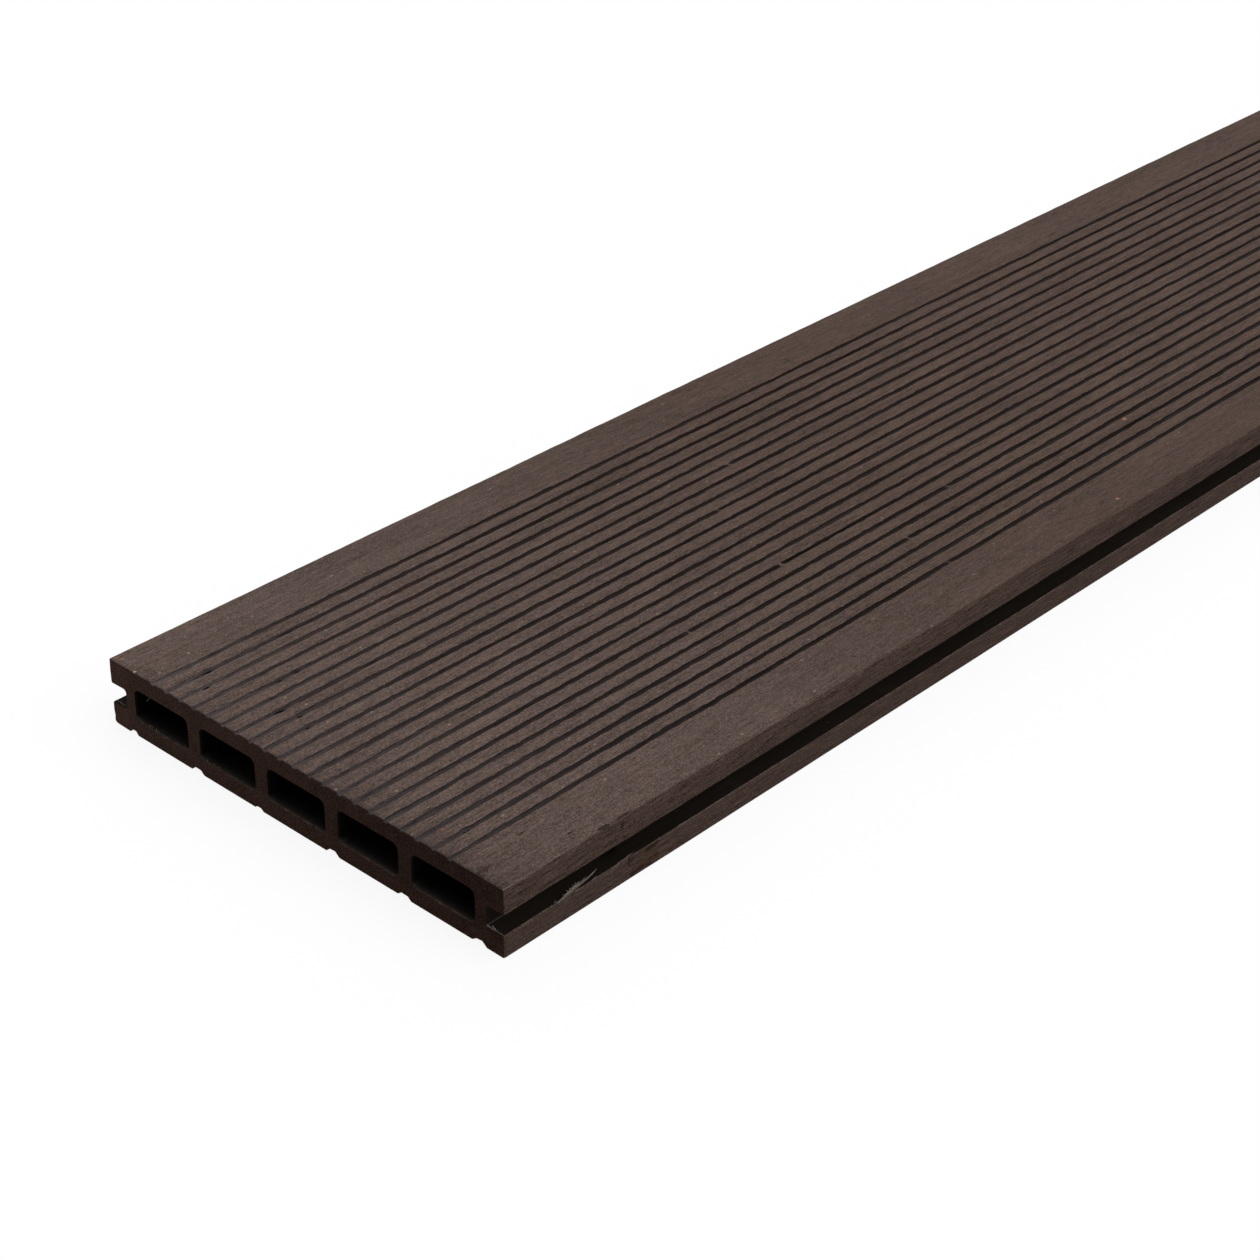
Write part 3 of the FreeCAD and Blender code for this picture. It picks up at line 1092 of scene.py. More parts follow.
@dataclass(frozen=True)
class BoardSizes:
    """The board's section, as the solid has it."""

    length: float
    width: float
    thickness: float
    upper_edge_radius: float = 0.5 * MM
    lower_edge_radius: float = 0.5 * MM
    slot_depth: float = 5.6 * MM
    slot_height: float = 5.5 * MM
    slot_corner: float = 0.6 * MM
    lower_lip: float = 6.4 * MM
    chamber_count: int = 5
    side_wall: float = 3.9 * MM
    web: float = 5.0 * MM
    upper_wall: float = 5.2 * MM
    lower_wall: float = 4.9 * MM
    chamber_corner: float = 1.5 * MM
    groove_count: int = 21
    groove_margin: float = 17.0 * MM
    groove_mouth: float = 1.6 * MM
    groove_floor: float = 0.9 * MM
    groove_depth: float = 0.6 * MM
    relief_pitch: float = 24.4 * MM
    relief_mouth: float = 4.6 * MM
    relief_floor: float = 2.0 * MM
    relief_depth: float = 1.1 * MM

    @classmethod
    def of_node(cls, node: str) -> "BoardSizes":
        """The sizes of the board in the frame."""
        low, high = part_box(node)
        return cls(*(high - low))

    @property
    def half_length(self) -> float:
        """From the origin to a sawn end."""
        return self.length / 2

    @property
    def half_width(self) -> float:
        """From the middle to a side face."""
        return self.width / 2

    @property
    def slot_back(self) -> float:
        """From the middle to the back of a slot."""
        return self.half_width - self.slot_depth

    @property
    def chamber_width(self) -> float:
        """The width of one chamber."""
        walls = 2 * (self.slot_depth + self.side_wall) + (self.chamber_count - 1) * self.web
        return (self.width - walls) / self.chamber_count

    @property
    def chamber_pitch(self) -> float:
        """From one chamber to the next."""
        return self.chamber_width + self.web

    def chamber_middle(self, number: int) -> float:
        """Where a chamber's middle is across the board, counted from the right side."""
        return (number - (self.chamber_count - 1) / 2) * self.chamber_pitch

    def groove_middle(self, number: int) -> float:
        """Where a groove's middle is across the board, counted from the right side."""
        pitch = (self.width - 2 * self.groove_margin) / (self.groove_count - 1)
        return number * pitch - self.half_width + self.groove_margin

    def relief_middle(self, number: int) -> float:
        """Where an underside groove's middle is across the board, counted from the right side."""
        return (number - self.chamber_count / 2) * self.relief_pitch


class Outline:
    """The outer outline of the section at every station along the board, as columns of points."""

    def __init__(self, stations: np.ndarray) -> None:
        """Starts with no columns.

        Args:
            stations: places along the board, from its near end.
        """
        self.stations = stations
        self.columns: list[np.ndarray] = []
        self.zones: list[int] = []

    def add(self, across: Union[float, np.ndarray], level: Union[float, np.ndarray], zone: Zone) -> None:
        """Adds the next column.

        Args:
            across: where it is across the board, as one number or one for each station.
            level: how high it is, likewise.
            zone: the zone of the strip that follows it.
        """
        column = np.empty((len(self.stations), 2))
        column[:, 0] = across
        column[:, 1] = level
        self.columns.append(column)
        self.zones.append(int(zone))

    def rings(self) -> np.ndarray:
        """The outline's points at each station: station, column, then across and level."""
        return np.stack(self.columns, axis=1)


HUMP_SLOPE = 1.6


def bump_at(stations: np.ndarray, along: float, length: float) -> np.ndarray:
    """A smooth hump along the board: 1 near that place, 0 beyond half its length from it."""
    share = np.clip(HUMP_SLOPE * (1 - np.abs(stations - along) / (length / 2)), 0, 1)
    return share * share * (3 - 2 * share)


class Stream(IntEnum):
    """What is added to the board's seed for the waviness of each kind of line."""

    UNDERSIDE = 1
    FACES = 10
    ARRISES = 20
    MARGINS = 30
    GROOVE_EDGES = 40
    GROOVE_FLOORS = 50


LEVEL_KEYS = 100
CROWN_KEYS = 200


@dataclass(frozen=True)
class Board:
    """The whole board as one closed skin with worn edges, open slots and open chambers."""

    sizes: BoardSizes
    arris: float = 0.22 * MM
    chipped: float = 0.30 * MM
    worn_corner: float = 1.2 * MM
    lip_arris: float = 0.28 * MM
    rib_crown: float = 0.03 * MM
    shoulder: float = 0.12 * MM
    mouth_bevel: float = 0.36 * MM
    worn_mouth: float = 0.35 * MM
    worn_shares: Span = (0.3, 0.9)
    floor_roughness: float = 0.6
    wall_roughness: float = 0.25
    floor_steps: int = 14
    corner_turns: tuple[int, ...] = (0, 18, 36, 54, 72, 90)
    chamber_rings: tuple[float, ...] = (0.0, 1 * MM, 4 * MM, 12 * MM, 40 * MM, 120 * MM, 400 * MM)
    edge_turns: tuple[int, ...] = (0, 30, 60, 90)
    slot_turns: tuple[int, ...] = (0, 45, 90)
    lip_shares: tuple[float, ...] = (0.35, 0.6, 0.82)
    margin_shares: tuple[float, ...] = (0.05, 0.3, 0.55, 0.8)
    pit_depth: float = 0.7
    pit_widening: float = 0.12
    bridge_fill: float = 0.92
    line_rise: float = 0.6
    margin_rise: float = 0.5
    crown_rise: float = 0.3
    foot_stray: float = 0.5
    mouth_drop: float = 0.5
    sill_share: float = 0.1
    crease: float = 38.0
    seed: int = 20
    spans: tuple[Span, ...] = (
        (6 * MM, 0.6 * MM),
        (36 * MM, 0.95 * MM),
        (44 * MM, 0.5 * MM),
        (200 * MM, 0.95 * MM),
        (300 * MM, 1.8 * MM),
        (540 * MM, 3.8 * MM),
    )
    plain_step: float = 32 * MM
    last_stations: tuple[float, ...] = (20 * MM, 12 * MM, 6 * MM, 3 * MM, 1.5 * MM)
    face_waves: tuple[Span, ...] = ((90 * MM, 0.05 * MM), (14 * MM, 0.02 * MM))
    edge_waves: tuple[Span, ...] = (
        (26 * MM, 0.06 * MM),
        (6.5 * MM, 0.06 * MM),
        (2.6 * MM, 0.07 * MM),
        (1.4 * MM, 0.06 * MM),
    )
    arris_waves: tuple[Span, ...] = (
        (60 * MM, 0.03 * MM),
        (7.5 * MM, 0.025 * MM),
        (2.7 * MM, 0.025 * MM),
    )
    floor_waves: tuple[Span, ...] = (
        (150 * MM, 0.05 * MM),
        (30 * MM, 0.06 * MM),
        (5 * MM, 0.05 * MM),
    )
    bridges: tuple[GrooveMark, ...] = (
        GrooveMark(15, 183.7 * MM, 3.0 * MM),
        GrooveMark(6, 150.9 * MM, 2.6 * MM),
        GrooveMark(5, 108.5 * MM, 2.8 * MM),
        GrooveMark(12, 161.7 * MM, 2.6 * MM),
        GrooveMark(0, 182.5 * MM, 2.4 * MM),
        GrooveMark(3, 185.4 * MM, 2.6 * MM),
        GrooveMark(5, 216.6 * MM, 3.0 * MM),
        GrooveMark(8, 320.5 * MM, 2.6 * MM),
        GrooveMark(4, 332.5 * MM, 2.6 * MM),
        GrooveMark(14, 339.6 * MM, 2.8 * MM),
    )
    pits: tuple[GrooveMark, ...] = (
        GrooveMark(19, 13.2 * MM, 2.6 * MM),
        GrooveMark(18, 8.4 * MM, 2.4 * MM),
        GrooveMark(16, 28.3 * MM, 3.0 * MM),
        GrooveMark(16, 23.0 * MM, 2.4 * MM),
        GrooveMark(14, 13.6 * MM, 3.0 * MM),
        GrooveMark(13, 15.7 * MM, 2.4 * MM),
        GrooveMark(12, 13.7 * MM, 2.2 * MM),
        GrooveMark(1, 10.0 * MM, 2.2 * MM),
    )
    tears: tuple[SideMark, ...] = (
        SideMark(40.9 * MM, 1.4 * MM, 3.2 * MM, 6.4 * MM, 0.55 * MM),
        SideMark(38.6 * MM, 6.4 * MM, 5.9 * MM, 6.5 * MM, -0.10 * MM, 0.40 * MM),
        SideMark(37.9 * MM, 1.4 * MM, 15.0 * MM, 18.0 * MM, 0.25 * MM),
        SideMark(32.3 * MM, 3.0 * MM, 18.3 * MM, 19.1 * MM, 0.25 * MM, -0.10 * MM),
    )
    small_reliefs: tuple[ReliefMark, ...] = (
        ReliefMark(3, 1.7 * MM, 0.70, 0.60, 30 * MM),
        ReliefMark(5, 0.4 * MM, 0.75, 0.85, 30 * MM),
    )

    def stations(self) -> np.ndarray:
        """Places along the board that have a ring of points.

        Returns:
            How far they are from the near end: close together where the board shows.
        """
        length = self.sizes.length
        start = self.arris
        places = []
        for end, step in (*self.spans, (length - self.last_stations[0], self.plain_step)):
            places.append(np.arange(start, end, step))
            start = end
        places.append(length - np.array(self.last_stations))
        places.append([length - self.arris])
        return np.concatenate(places)

    def _underside(self, outline: Outline) -> None:
        """The underside from right to left, with its shallow grooves.

        Args:
            outline: the outline so far.
        """
        s = self.sizes
        waver = Waver(self.seed + Stream.UNDERSIDE, self.face_waves)
        mouth = s.relief_mouth
        floor = s.relief_floor
        steps = ((-mouth, 0.0), (-floor, 1.0), (floor, 1.0), (mouth, 0.0))
        for number in range(s.chamber_count + 1):
            middle = np.full_like(outline.stations, s.relief_middle(number))
            wide = np.ones_like(outline.stations)
            deep = np.ones_like(outline.stations)
            for mark in self.small_reliefs:
                if mark.number == number:
                    near = np.exp(-((outline.stations / mark.reach) ** 2))
                    middle = middle + mark.shift * near
                    wide = wide + (mark.width - 1) * near
                    deep = deep + (mark.depth - 1) * near
            for column, (width, depth) in enumerate(steps):
                stray = waver.along(outline.stations, len(steps) * number + column)
                level = depth * (s.relief_depth * deep + stray)
                outline.add(middle + wide * width / 2 + stray, level, Zone.UNDERSIDE)

    def _side_columns(self, hand: Hand, stations: np.ndarray) -> list[tuple[np.ndarray, np.ndarray, Zone]]:
        """One long side from the bottom up.

        Args:
            hand: which side.
            stations: places along the board, from its near end.

        Returns:
            Across, level and the zone above, for each column.
        """
        s = self.sizes
        faces = Waver(self.seed + Stream.FACES + int(hand), self.face_waves)
        edges = Waver(self.seed + Stream.ARRISES + int(hand), self.arris_waves)
        columns = []

        def add(across: float, level: float, zone: Zone, waver: Waver) -> None:
            """Adds one column, with its waviness and its torn places.

            Args:
                across: how far it is from the middle.
                level: how high it is.
                zone: the zone above it.
                waver: its waviness.
            """
            out = across + waver.along(stations, len(columns))
            up = level + self.line_rise * waver.along(stations, LEVEL_KEYS + len(columns))
            for tear in self.tears if hand is Hand.RIGHT else ():
                if tear.low <= level <= tear.high:
                    hump = bump_at(stations, tear.along, tear.length)
                    out = out - tear.depth * hump
                    up = up + tear.lift * hump
            columns.append((hand * out, up, zone))

        radius = self.worn_corner if hand is Hand.LEFT else s.lower_edge_radius
        for turn in self.edge_turns:
            angle = math.radians(turn)
            across = s.half_width - radius + radius * math.sin(angle)
            add(across, radius - radius * math.cos(angle), Zone.SIDE if turn else Zone.UNDERSIDE, faces)
        roof = s.lower_lip + s.slot_height
        for share in self.lip_shares:
            add(s.half_width, s.lower_lip * share, Zone.SIDE, faces)
        add(s.half_width, s.lower_lip - self.lip_arris, Zone.WORN_HIGHLIGHT, edges)
        add(s.half_width - self.lip_arris, s.lower_lip, Zone.SLOT, edges)
        for level, sign in ((s.lower_lip, 1), (roof, -1)):
            for turn in self.slot_turns[::sign]:
                angle = math.radians(turn)
                across = s.slot_back + s.slot_corner * (1 - math.sin(angle))
                add(across, level + sign * s.slot_corner * (1 - math.cos(angle)), Zone.SLOT, faces)
        add(s.half_width - self.lip_arris, roof, Zone.SIDE, edges)
        add(s.half_width, roof + self.lip_arris, Zone.SIDE, edges)
        add(s.half_width, roof + 0.5 * (s.thickness - roof), Zone.SIDE, faces)
        radius = s.upper_edge_radius
        first, *turned, last = reversed(self.edge_turns)
        for turn in (first, *turned, last):
            angle = math.radians(turn)
            across = s.half_width - radius + radius * math.sin(angle)
            level = s.thickness - radius + radius * math.cos(angle)
            zone = Zone.SIDE if turn == first else Zone.DECK
            add(across, level, zone, edges if turn in turned else faces)
        return columns

    def _side(self, outline: Outline, hand: Hand) -> None:
        """Adds one long side: upwards on the left, downwards on the right.

        Args:
            outline: the outline so far.
            hand: which side.
        """
        columns = self._side_columns(hand, outline.stations)
        if hand is Hand.LEFT:
            for across, level, zone in columns:
                outline.add(across, level, zone)
            return
        below = [Zone.UNDERSIDE] + [zone for _, _, zone in columns[:-1]]
        for (across, level, _), zone in reversed(list(zip(columns, below))):
            outline.add(across, level, zone)

    def _margin(self, outline: Outline, hand: Hand) -> None:
        """The plain strip of the top beside the grooves, from left to right.

        Args:
            outline: the outline so far.
            hand: which side's strip.
        """
        s = self.sizes
        waver = Waver(self.seed + Stream.MARGINS + int(hand), self.face_waves)
        inner = s.half_width - s.groove_margin + s.groove_mouth
        outer = s.half_width - s.upper_edge_radius
        for number, share in enumerate(self.margin_shares[:: -int(hand)]):
            level = s.thickness + self.margin_rise * waver.along(outline.stations, number)
            outline.add(hand * (inner + share * (outer - inner)), level, Zone.DECK)

    def _groove(self, outline: Outline, number: int) -> None:
        """One groove with its ragged edges, from left to right, and the crown of the rib after it.

        Args:
            outline: the outline so far.
            number: which groove, from the right side.
        """
        s = self.sizes
        stations = outline.stations
        edges = Waver(self.seed + Stream.GROOVE_EDGES, self.edge_waves)
        floors = Waver(self.seed + Stream.GROOVE_FLOORS, self.floor_waves)
        middle = s.groove_middle(number)
        top = s.thickness
        depth = s.groove_depth + floors.along(stations, number)
        widening = np.zeros_like(stations)
        for pit in self.pits:
            if pit.groove == number:
                hump = bump_at(stations, pit.along, pit.length)
                depth = depth + self.pit_depth * s.groove_depth * hump
                widening = widening + self.pit_widening * s.groove_mouth * hump
        filled = np.zeros_like(stations)
        for mark in self.bridges:
            if mark.groove == number:
                filled = np.maximum(filled, bump_at(stations, mark.along, mark.length))
        depth = depth * (1 - self.bridge_fill * filled)
        for side in (1, -1):
            stray = edges.along(stations, 2 * number + (side > 0)) + widening
            mouth = middle + side * (s.groove_mouth / 2 + stray)
            foot = middle + side * (s.groove_floor / 2 + self.foot_stray * stray)
            brow = mouth + side * self.shoulder
            columns = [
                (brow, top - self.rib_crown),
                (mouth, top - self.rib_crown - self.mouth_drop * self.shoulder * (1 - filled)),
                (foot, top - depth),
            ]
            for across, level in columns if side > 0 else reversed(columns):
                outline.add(across, level, Zone.DECK)
        if number:
            crown = (middle + s.groove_middle(number - 1)) / 2
            rise = self.crown_rise * floors.along(stations, CROWN_KEYS + number)
            outline.add(crown, top + rise, Zone.DECK)

    def _outline(self) -> Outline:
        """The whole outer outline.

        Returns:
            The outline, anticlockwise where across points right and up points up.
        """
        outline = Outline(self.stations())
        self._underside(outline)
        self._side(outline, Hand.LEFT)
        self._margin(outline, Hand.LEFT)
        for number in reversed(range(self.sizes.groove_count)):
            self._groove(outline, number)
        self._margin(outline, Hand.RIGHT)
        self._side(outline, Hand.RIGHT)
        return outline

    @staticmethod
    def _grown(loop: np.ndarray, amount: Union[float, np.ndarray]) -> np.ndarray:
        """An anticlockwise loop made larger or smaller.

        Args:
            loop: its points.
            amount: how far they go outwards, or inwards if that is negative.

        Returns:
            The moved points.
        """
        run = np.roll(loop, -1, axis=0) - np.roll(loop, 1, axis=0)
        run /= np.linalg.norm(run, axis=1, keepdims=True)
        outward = np.stack([run[:, 1], -run[:, 0]], axis=1)
        return loop + outward * np.reshape(amount, (-1, 1))

    @staticmethod
    def _placed(loop: np.ndarray, along: float) -> np.ndarray:
        """A loop of the section as points at one place along the board."""
        return np.column_stack([np.full(len(loop), along), loop])

    def _sawn_loop(self, ring: np.ndarray, wear: np.ndarray) -> np.ndarray:
        """The outline at a sawn end.

        Args:
            ring: the outline just inside the end.
            wear: how worn each of its points is, as a share.

        Returns:
            The ring with its edge worn inwards, and the ends of the ribs and grooves chipped downwards.
        """
        s = self.sizes
        worn = self._grown(ring, -self.arris * wear)
        chipped = ring - np.column_stack([np.zeros_like(wear), self.chipped * wear])
        on_top = ring[:, 1] > s.thickness - 2 * s.groove_depth
        between = np.abs(ring[:, 0]) < s.half_width - s.groove_margin / 2
        return np.where((on_top & between)[:, None], chipped, worn)

    def _add_skin(self, shell: Shell) -> tuple[list[int], list[int]]:
        """Adds the outer skin.

        Args:
            shell: the mesh so far.

        Returns:
            The loops of points round the near and the far sawn end.
        """
        outline = self._outline()
        rings = outline.rings()
        places = outline.stations - self.sizes.half_length
        rng = np.random.default_rng(self.seed)
        wear = rng.uniform(*self.worn_shares, (2, rings.shape[1]))
        loops = [self._placed(self._sawn_loop(rings[0], wear[0]), -self.sizes.half_length)]
        loops += [self._placed(ring, along) for ring, along in zip(rings, places)]
        loops.append(self._placed(self._sawn_loop(rings[-1], wear[1]), self.sizes.half_length))
        numbers = [shell.add_points(loop) for loop in loops]
        for ring, following in zip(numbers, numbers[1:]):
            shell.bridge(ring, following, outline.zones)
        return numbers[0], numbers[-1]

    def _chamber_loop(self, number: int) -> np.ndarray:
        """The rounded outline of one chamber.

        Args:
            number: which chamber, from the right side.

        Returns:
            Its points, anticlockwise.
        """
        s = self.sizes
        middle = s.chamber_middle(number)
        radius = s.chamber_corner
        half = s.chamber_width / 2 - radius
        low = s.lower_wall + radius
        high = s.thickness - s.upper_wall - radius
        corners = ((half, low, -90), (half, high, 0), (-half, high, 90), (-half, low, 180))
        points = []
        for across, level, start in corners:
            for turn in self.corner_turns:
                angle = math.radians(start + turn)
                turned = middle + across + radius * math.cos(angle)
                points.append((turned, level + radius * math.sin(angle)))
        for across in np.linspace(-half, half, self.floor_steps)[1:-1]:
            points.append((middle + across, s.lower_wall))
        return np.array(points)

    def _add_chamber(self, shell: Shell, number: int) -> tuple[list[int], list[int]]:
        """Adds one chamber's walls.

        Args:
            shell: the mesh so far.
            number: which chamber, from the right side.

        Returns:
            The loops of points round its near and its far mouth.
        """
        loop = self._chamber_loop(number)
        inward = np.array(self.chamber_rings) + self.worn_mouth
        half = self.sizes.half_length
        places = np.concatenate([inward - half, (half - inward)[::-1]])
        rng = np.random.default_rng((self.seed, number))
        on_floor = loop[:, 1] < self.sizes.lower_wall + self.sill_share * self.sizes.chamber_corner
        roughness = np.where(on_floor, self.floor_roughness, self.wall_roughness)
        wear = np.where(on_floor, self.worn_mouth, self.mouth_bevel)
        wear = wear * (1 - roughness * rng.uniform(0.0, 1.0, (2, len(loop))))
        sill = on_floor & np.roll(on_floor, -1)
        mouth = [Zone.WORN_HIGHLIGHT if worn else Zone.CHAMBER for worn in sill]
        inside = [Zone.CHAMBER] * len(loop)
        loops = [self._placed(self._grown(loop, wear[0]), -half)]
        loops += [self._placed(loop, along) for along in places]
        loops.append(self._placed(self._grown(loop, wear[1]), half))
        numbers = [shell.add_points(points) for points in loops]
        for ring, following in zip(numbers, numbers[1:]):
            at_mouth = ring is numbers[0] or following is numbers[-1]
            shell.bridge(following, ring, mouth if at_mouth else inside)
        return numbers[0], numbers[-1]

    def build(self, finishes: Sequence[Finish]) -> bpy.types.Object:
        """Makes the board in the place of its solid.

        Args:
            finishes: one finish for each zone.

        Returns:
            The board.
        """
        shell = Shell()
        near, far = self._add_skin(shell)
        near_loops = [near]
        far_loops = [far]
        for number in range(self.sizes.chamber_count):
            near_mouth, far_mouth = self._add_chamber(shell, number)
            near_loops.append(near_mouth)
            far_loops.append(far_mouth)
        shell.close(near_loops, -1.0, Zone.END)
        shell.close(far_loops, 1.0, Zone.END)
        made = shell.to_object("board", [finish.material() for finish in finishes], self.crease)
        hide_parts(BOARD_NODE)
        dress(made)
        return made


@dataclass(frozen=True)
class Fibre:
    """A torn fibre: its places from the near end, across and up, and its half height and width at each."""

    TAPER = 0.85

    places: tuple[Point, ...]
    half_sizes: tuple[Span, ...]

    @classmethod
    def thin(cls, places: tuple[Point, ...], radius: float) -> "Fibre":
        """A round fibre that gets thinner towards its tip.

        Args:
            places: where it runs.
            radius: its radius at the root.

        Returns:
            The fibre.
        """
        last = len(places) - 1
        radii = [radius * (1 - cls.TAPER * number / last) for number in range(last + 1)]
        return cls(places, tuple((r, r) for r in radii))


@dataclass(frozen=True)
class TornFibres:
    """Torn fibres as one piece of closed tapering strands: each kind says where they are."""

    sizes: BoardSizes
    name: str = "torn_fibres"
    sides: int = 6
    crease: float = 60.0
    steep: float = 0.9

    def fibres(self) -> list[Fibre]:
        """The fibres, in millimetres."""
        raise NotImplementedError

    def _add_strand(self, shell: Shell, fibre: Fibre) -> None:
        """Adds one strand to the mesh.

        Args:
            shell: the mesh so far.
            fibre: the fibre that the strand follows.
        """
        path = np.array(fibre.places) * MM
        path[:, 0] -= self.sizes.half_length
        runs = np.gradient(path, axis=0)
        turns = np.linspace(0, 2 * math.pi, self.sides, endpoint=False)
        rings = []
        for place, run, (half_height, half_width) in zip(path, runs, fibre.half_sizes):
            run = run / np.linalg.norm(run)
            up = np.array((0.0, 0.0, 1.0)) if abs(run[2]) < self.steep else np.array((1.0, 0.0, 0.0))
            up = up - run * np.dot(up, run)
            up /= np.linalg.norm(up)
            aside = np.cross(run, up)
            spread = np.outer(np.cos(turns) * half_height, up) + np.outer(np.sin(turns) * half_width, aside)
            rings.append(shell.add_points(place + spread * MM))
        for ring, following in zip(rings, rings[1:]):
            shell.bridge(ring, following, [0] * self.sides)
        shell.add_face(rings[0][::-1], 0)
        shell.add_face(rings[-1], 0)

    def build(self, finish: Finish) -> bpy.types.Object:
        """Makes the fibres.

        Args:
            finish: their finish.

        Returns:
            The piece.
        """
        shell = Shell()
        for fibre in self.fibres():
            self._add_strand(shell, fibre)
        made = shell.to_object(self.name, [finish.material()], self.crease)
        dress(made)
        return made


@dataclass(frozen=True)
class LipSplinter(TornFibres):
    """The splinter that stands up from the edge of the right lower lip, with the barbs on its upper side.

    The flake's rows say how far it is from the near end and from the side, its level, and its half height
    and half width there. The barbs' rows say how far their points are from the near end, and their levels.
    """

    name: str = "lip_splinter"
    barb_radius: float = 0.19
    barb_inset: float = 0.1
    flake: tuple[tuple[float, ...], ...] = (
        (16.8, 0.20, 6.15, 0.20, 0.18),
        (18.4, 0.05, 6.55, 0.42, 0.20),
        (20.0, 0.0, 7.05, 0.64, 0.22),
        (21.4, -0.03, 7.42, 0.74, 0.22),
        (22.7, -0.05, 7.66, 0.60, 0.20),
        (24.2, -0.08, 7.82, 0.44, 0.18),
        (25.9, -0.10, 8.03, 0.34, 0.15),
        (27.5, -0.10, 8.38, 0.26, 0.13),
        (28.7, -0.06, 8.76, 0.18, 0.10),
        (29.6, 0.0, 9.10, 0.06, 0.05),
    )
    barbs: tuple[tuple[Span, ...], ...] = (
        ((20.3, 7.30), (20.0, 7.95), (19.5, 8.35)),
        ((20.8, 7.70), (20.8, 8.25), (20.5, 8.55)),
        ((21.3, 7.85), (21.6, 8.45), (21.5, 8.95)),
        ((21.9, 7.90), (22.5, 8.45), (22.9, 8.75)),
        ((22.9, 7.95), (23.6, 8.35), (24.2, 8.45)),
        ((24.6, 8.00), (25.4, 8.45), (26.1, 8.65)),
        ((19.3, 6.95), (18.9, 7.40), (18.5, 7.60)),
        ((15.5, 6.25), (15.8, 6.90), (16.2, 7.60)),
        ((16.3, 6.25), (16.4, 6.80), (16.2, 7.20)),
        ((22.6, 6.20), (23.1, 6.50), (23.8, 6.65)),
        ((27.9, 6.30), (28.8, 6.75), (29.9, 6.85)),
        ((38.4, 6.45), (40.0, 6.95), (42.0, 7.15)),
    )

    def fibres(self) -> list[Fibre]:
        """The splinter and its barbs.

        Returns:
            The splinter, then the barbs.
        """
        side = -self.sizes.half_width * PER_METRE_IN_MM
        places = tuple((along, side + inset, level) for along, inset, level, _, _ in self.flake)
        made = [Fibre(places, tuple(row[3:] for row in self.flake))]
        for barb in self.barbs:
            path = tuple((along, side + self.barb_inset, level) for along, level in barb)
            made.append(Fibre.thin(path, self.barb_radius))
        return made


@dataclass(frozen=True)
class SawBurrs(TornFibres):
    """The short fibres that the saw left standing on the near end's edges: in the chambers and the slots.

    The rows of those that stand say where they are across the board, their height and how far they lean.
    """

    name: str = "saw_burrs"
    standing_radius: float = 0.14
    hanging_radius: float = 0.10
    sill_radius: float = 0.16
    on_floors: tuple[Point, ...] = (
        (54.9, 1.1, -0.5),
        (54.3, 0.8, -0.7),
        (52.7, 0.9, -0.8),
        (51.9, 0.6, -0.6),
        (41.9, 1.0, -0.9),
        (40.8, 0.7, -0.3),
        (33.1, 0.6, -0.5),
        (30.8, 0.9, -0.6),
        (30.2, 0.7, -0.5),
        (28.6, 0.8, -0.6),
        (-39.9, 0.9, -0.4),
    )
    in_slots: tuple[Point, ...] = (
        (68.3, 0.8, -0.5),
        (67.4, 1.2, -0.7),
        (66.6, 1.4, -0.9),
        (65.6, 1.0, 0.4),
        (64.8, 1.1, -0.4),
        (-64.9, 0.9, -0.4),
        (-65.7, 1.0, 0.5),
        (-66.4, 0.6, -0.5),
    )

    def _standing(self, level: float, rows: Sequence[Point]) -> list[Fibre]:
        """Burrs that stand on one level.

        Args:
            level: the level of their roots.
            rows: where they are, how high and how far they lean.

        Returns:
            The burrs.
        """
        made = []
        for across, height, lean in rows:
            root = (0.5, across, level - 0.1)
            bend = (0.2, across + 0.4 * lean, level + 0.55 * height)
            tip = (0.1, across + lean, level + height)
            made.append(Fibre.thin((root, bend, tip), self.standing_radius))
        return made

    def fibres(self) -> list[Fibre]:
        """The burrs.

        Returns:
            Those in the chambers and in the slots, one that hangs, and the torn sill of the right slot.
        """
        s = self.sizes
        slot = s.lower_lip * PER_METRE_IN_MM
        roof = (s.thickness - s.upper_wall) * PER_METRE_IN_MM
        side = s.half_width * PER_METRE_IN_MM
        back = s.slot_back * PER_METRE_IN_MM
        hanging = ((0.5, 54.0, roof + 0.1), (0.2, 54.6, roof - 0.7), (0.0, 55.2, roof - 1.5))
        sill = (
            (0.12, -back - 0.2, slot + 0.02),
            (0.05, -back - 2.6, slot + 0.06),
            (0.12, -side + 0.2, slot - 0.02),
        )
        return [
            *self._standing(s.lower_wall * PER_METRE_IN_MM, self.on_floors),
            *self._standing(slot, self.in_slots),
            Fibre.thin(hanging, self.hanging_radius),
            Fibre.thin(sill, self.sill_radius),
        ]


@dataclass(frozen=True)
class FloorFinish:
    """A plain floor: white to look at, with a faint shadow, and grey to the light that bounces off it."""

    name: str = "studio_floor"
    seen: Colour = (1.0, 1.0, 1.0)
    bounced: Colour = (0.42, 0.42, 0.42)
    glow: float = 0.90

    def material(self) -> bpy.types.Material:
        """The material with this finish.

        Returns:
            The new material.
        """
        made = bpy.data.materials.new(self.name)
        made.use_nodes = True
        wiring = Wiring(made.node_tree)
        plainly = wiring.seen_plainly()
        colour = wiring.blend(plainly, self.bounced, self.seen)
        shaded = wiring.node("ShaderNodeBsdfDiffuse", None, {"Color": colour})
        white = wiring.node("ShaderNodeEmission", None, {"Color": self.seen, "Strength": 1.0})
        shader = wiring.node("ShaderNodeMixShader", None, {0: plainly * self.glow, 1: shaded, 2: white})
        wiring.node("ShaderNodeOutputMaterial", None, {"Surface": shader})
        return made


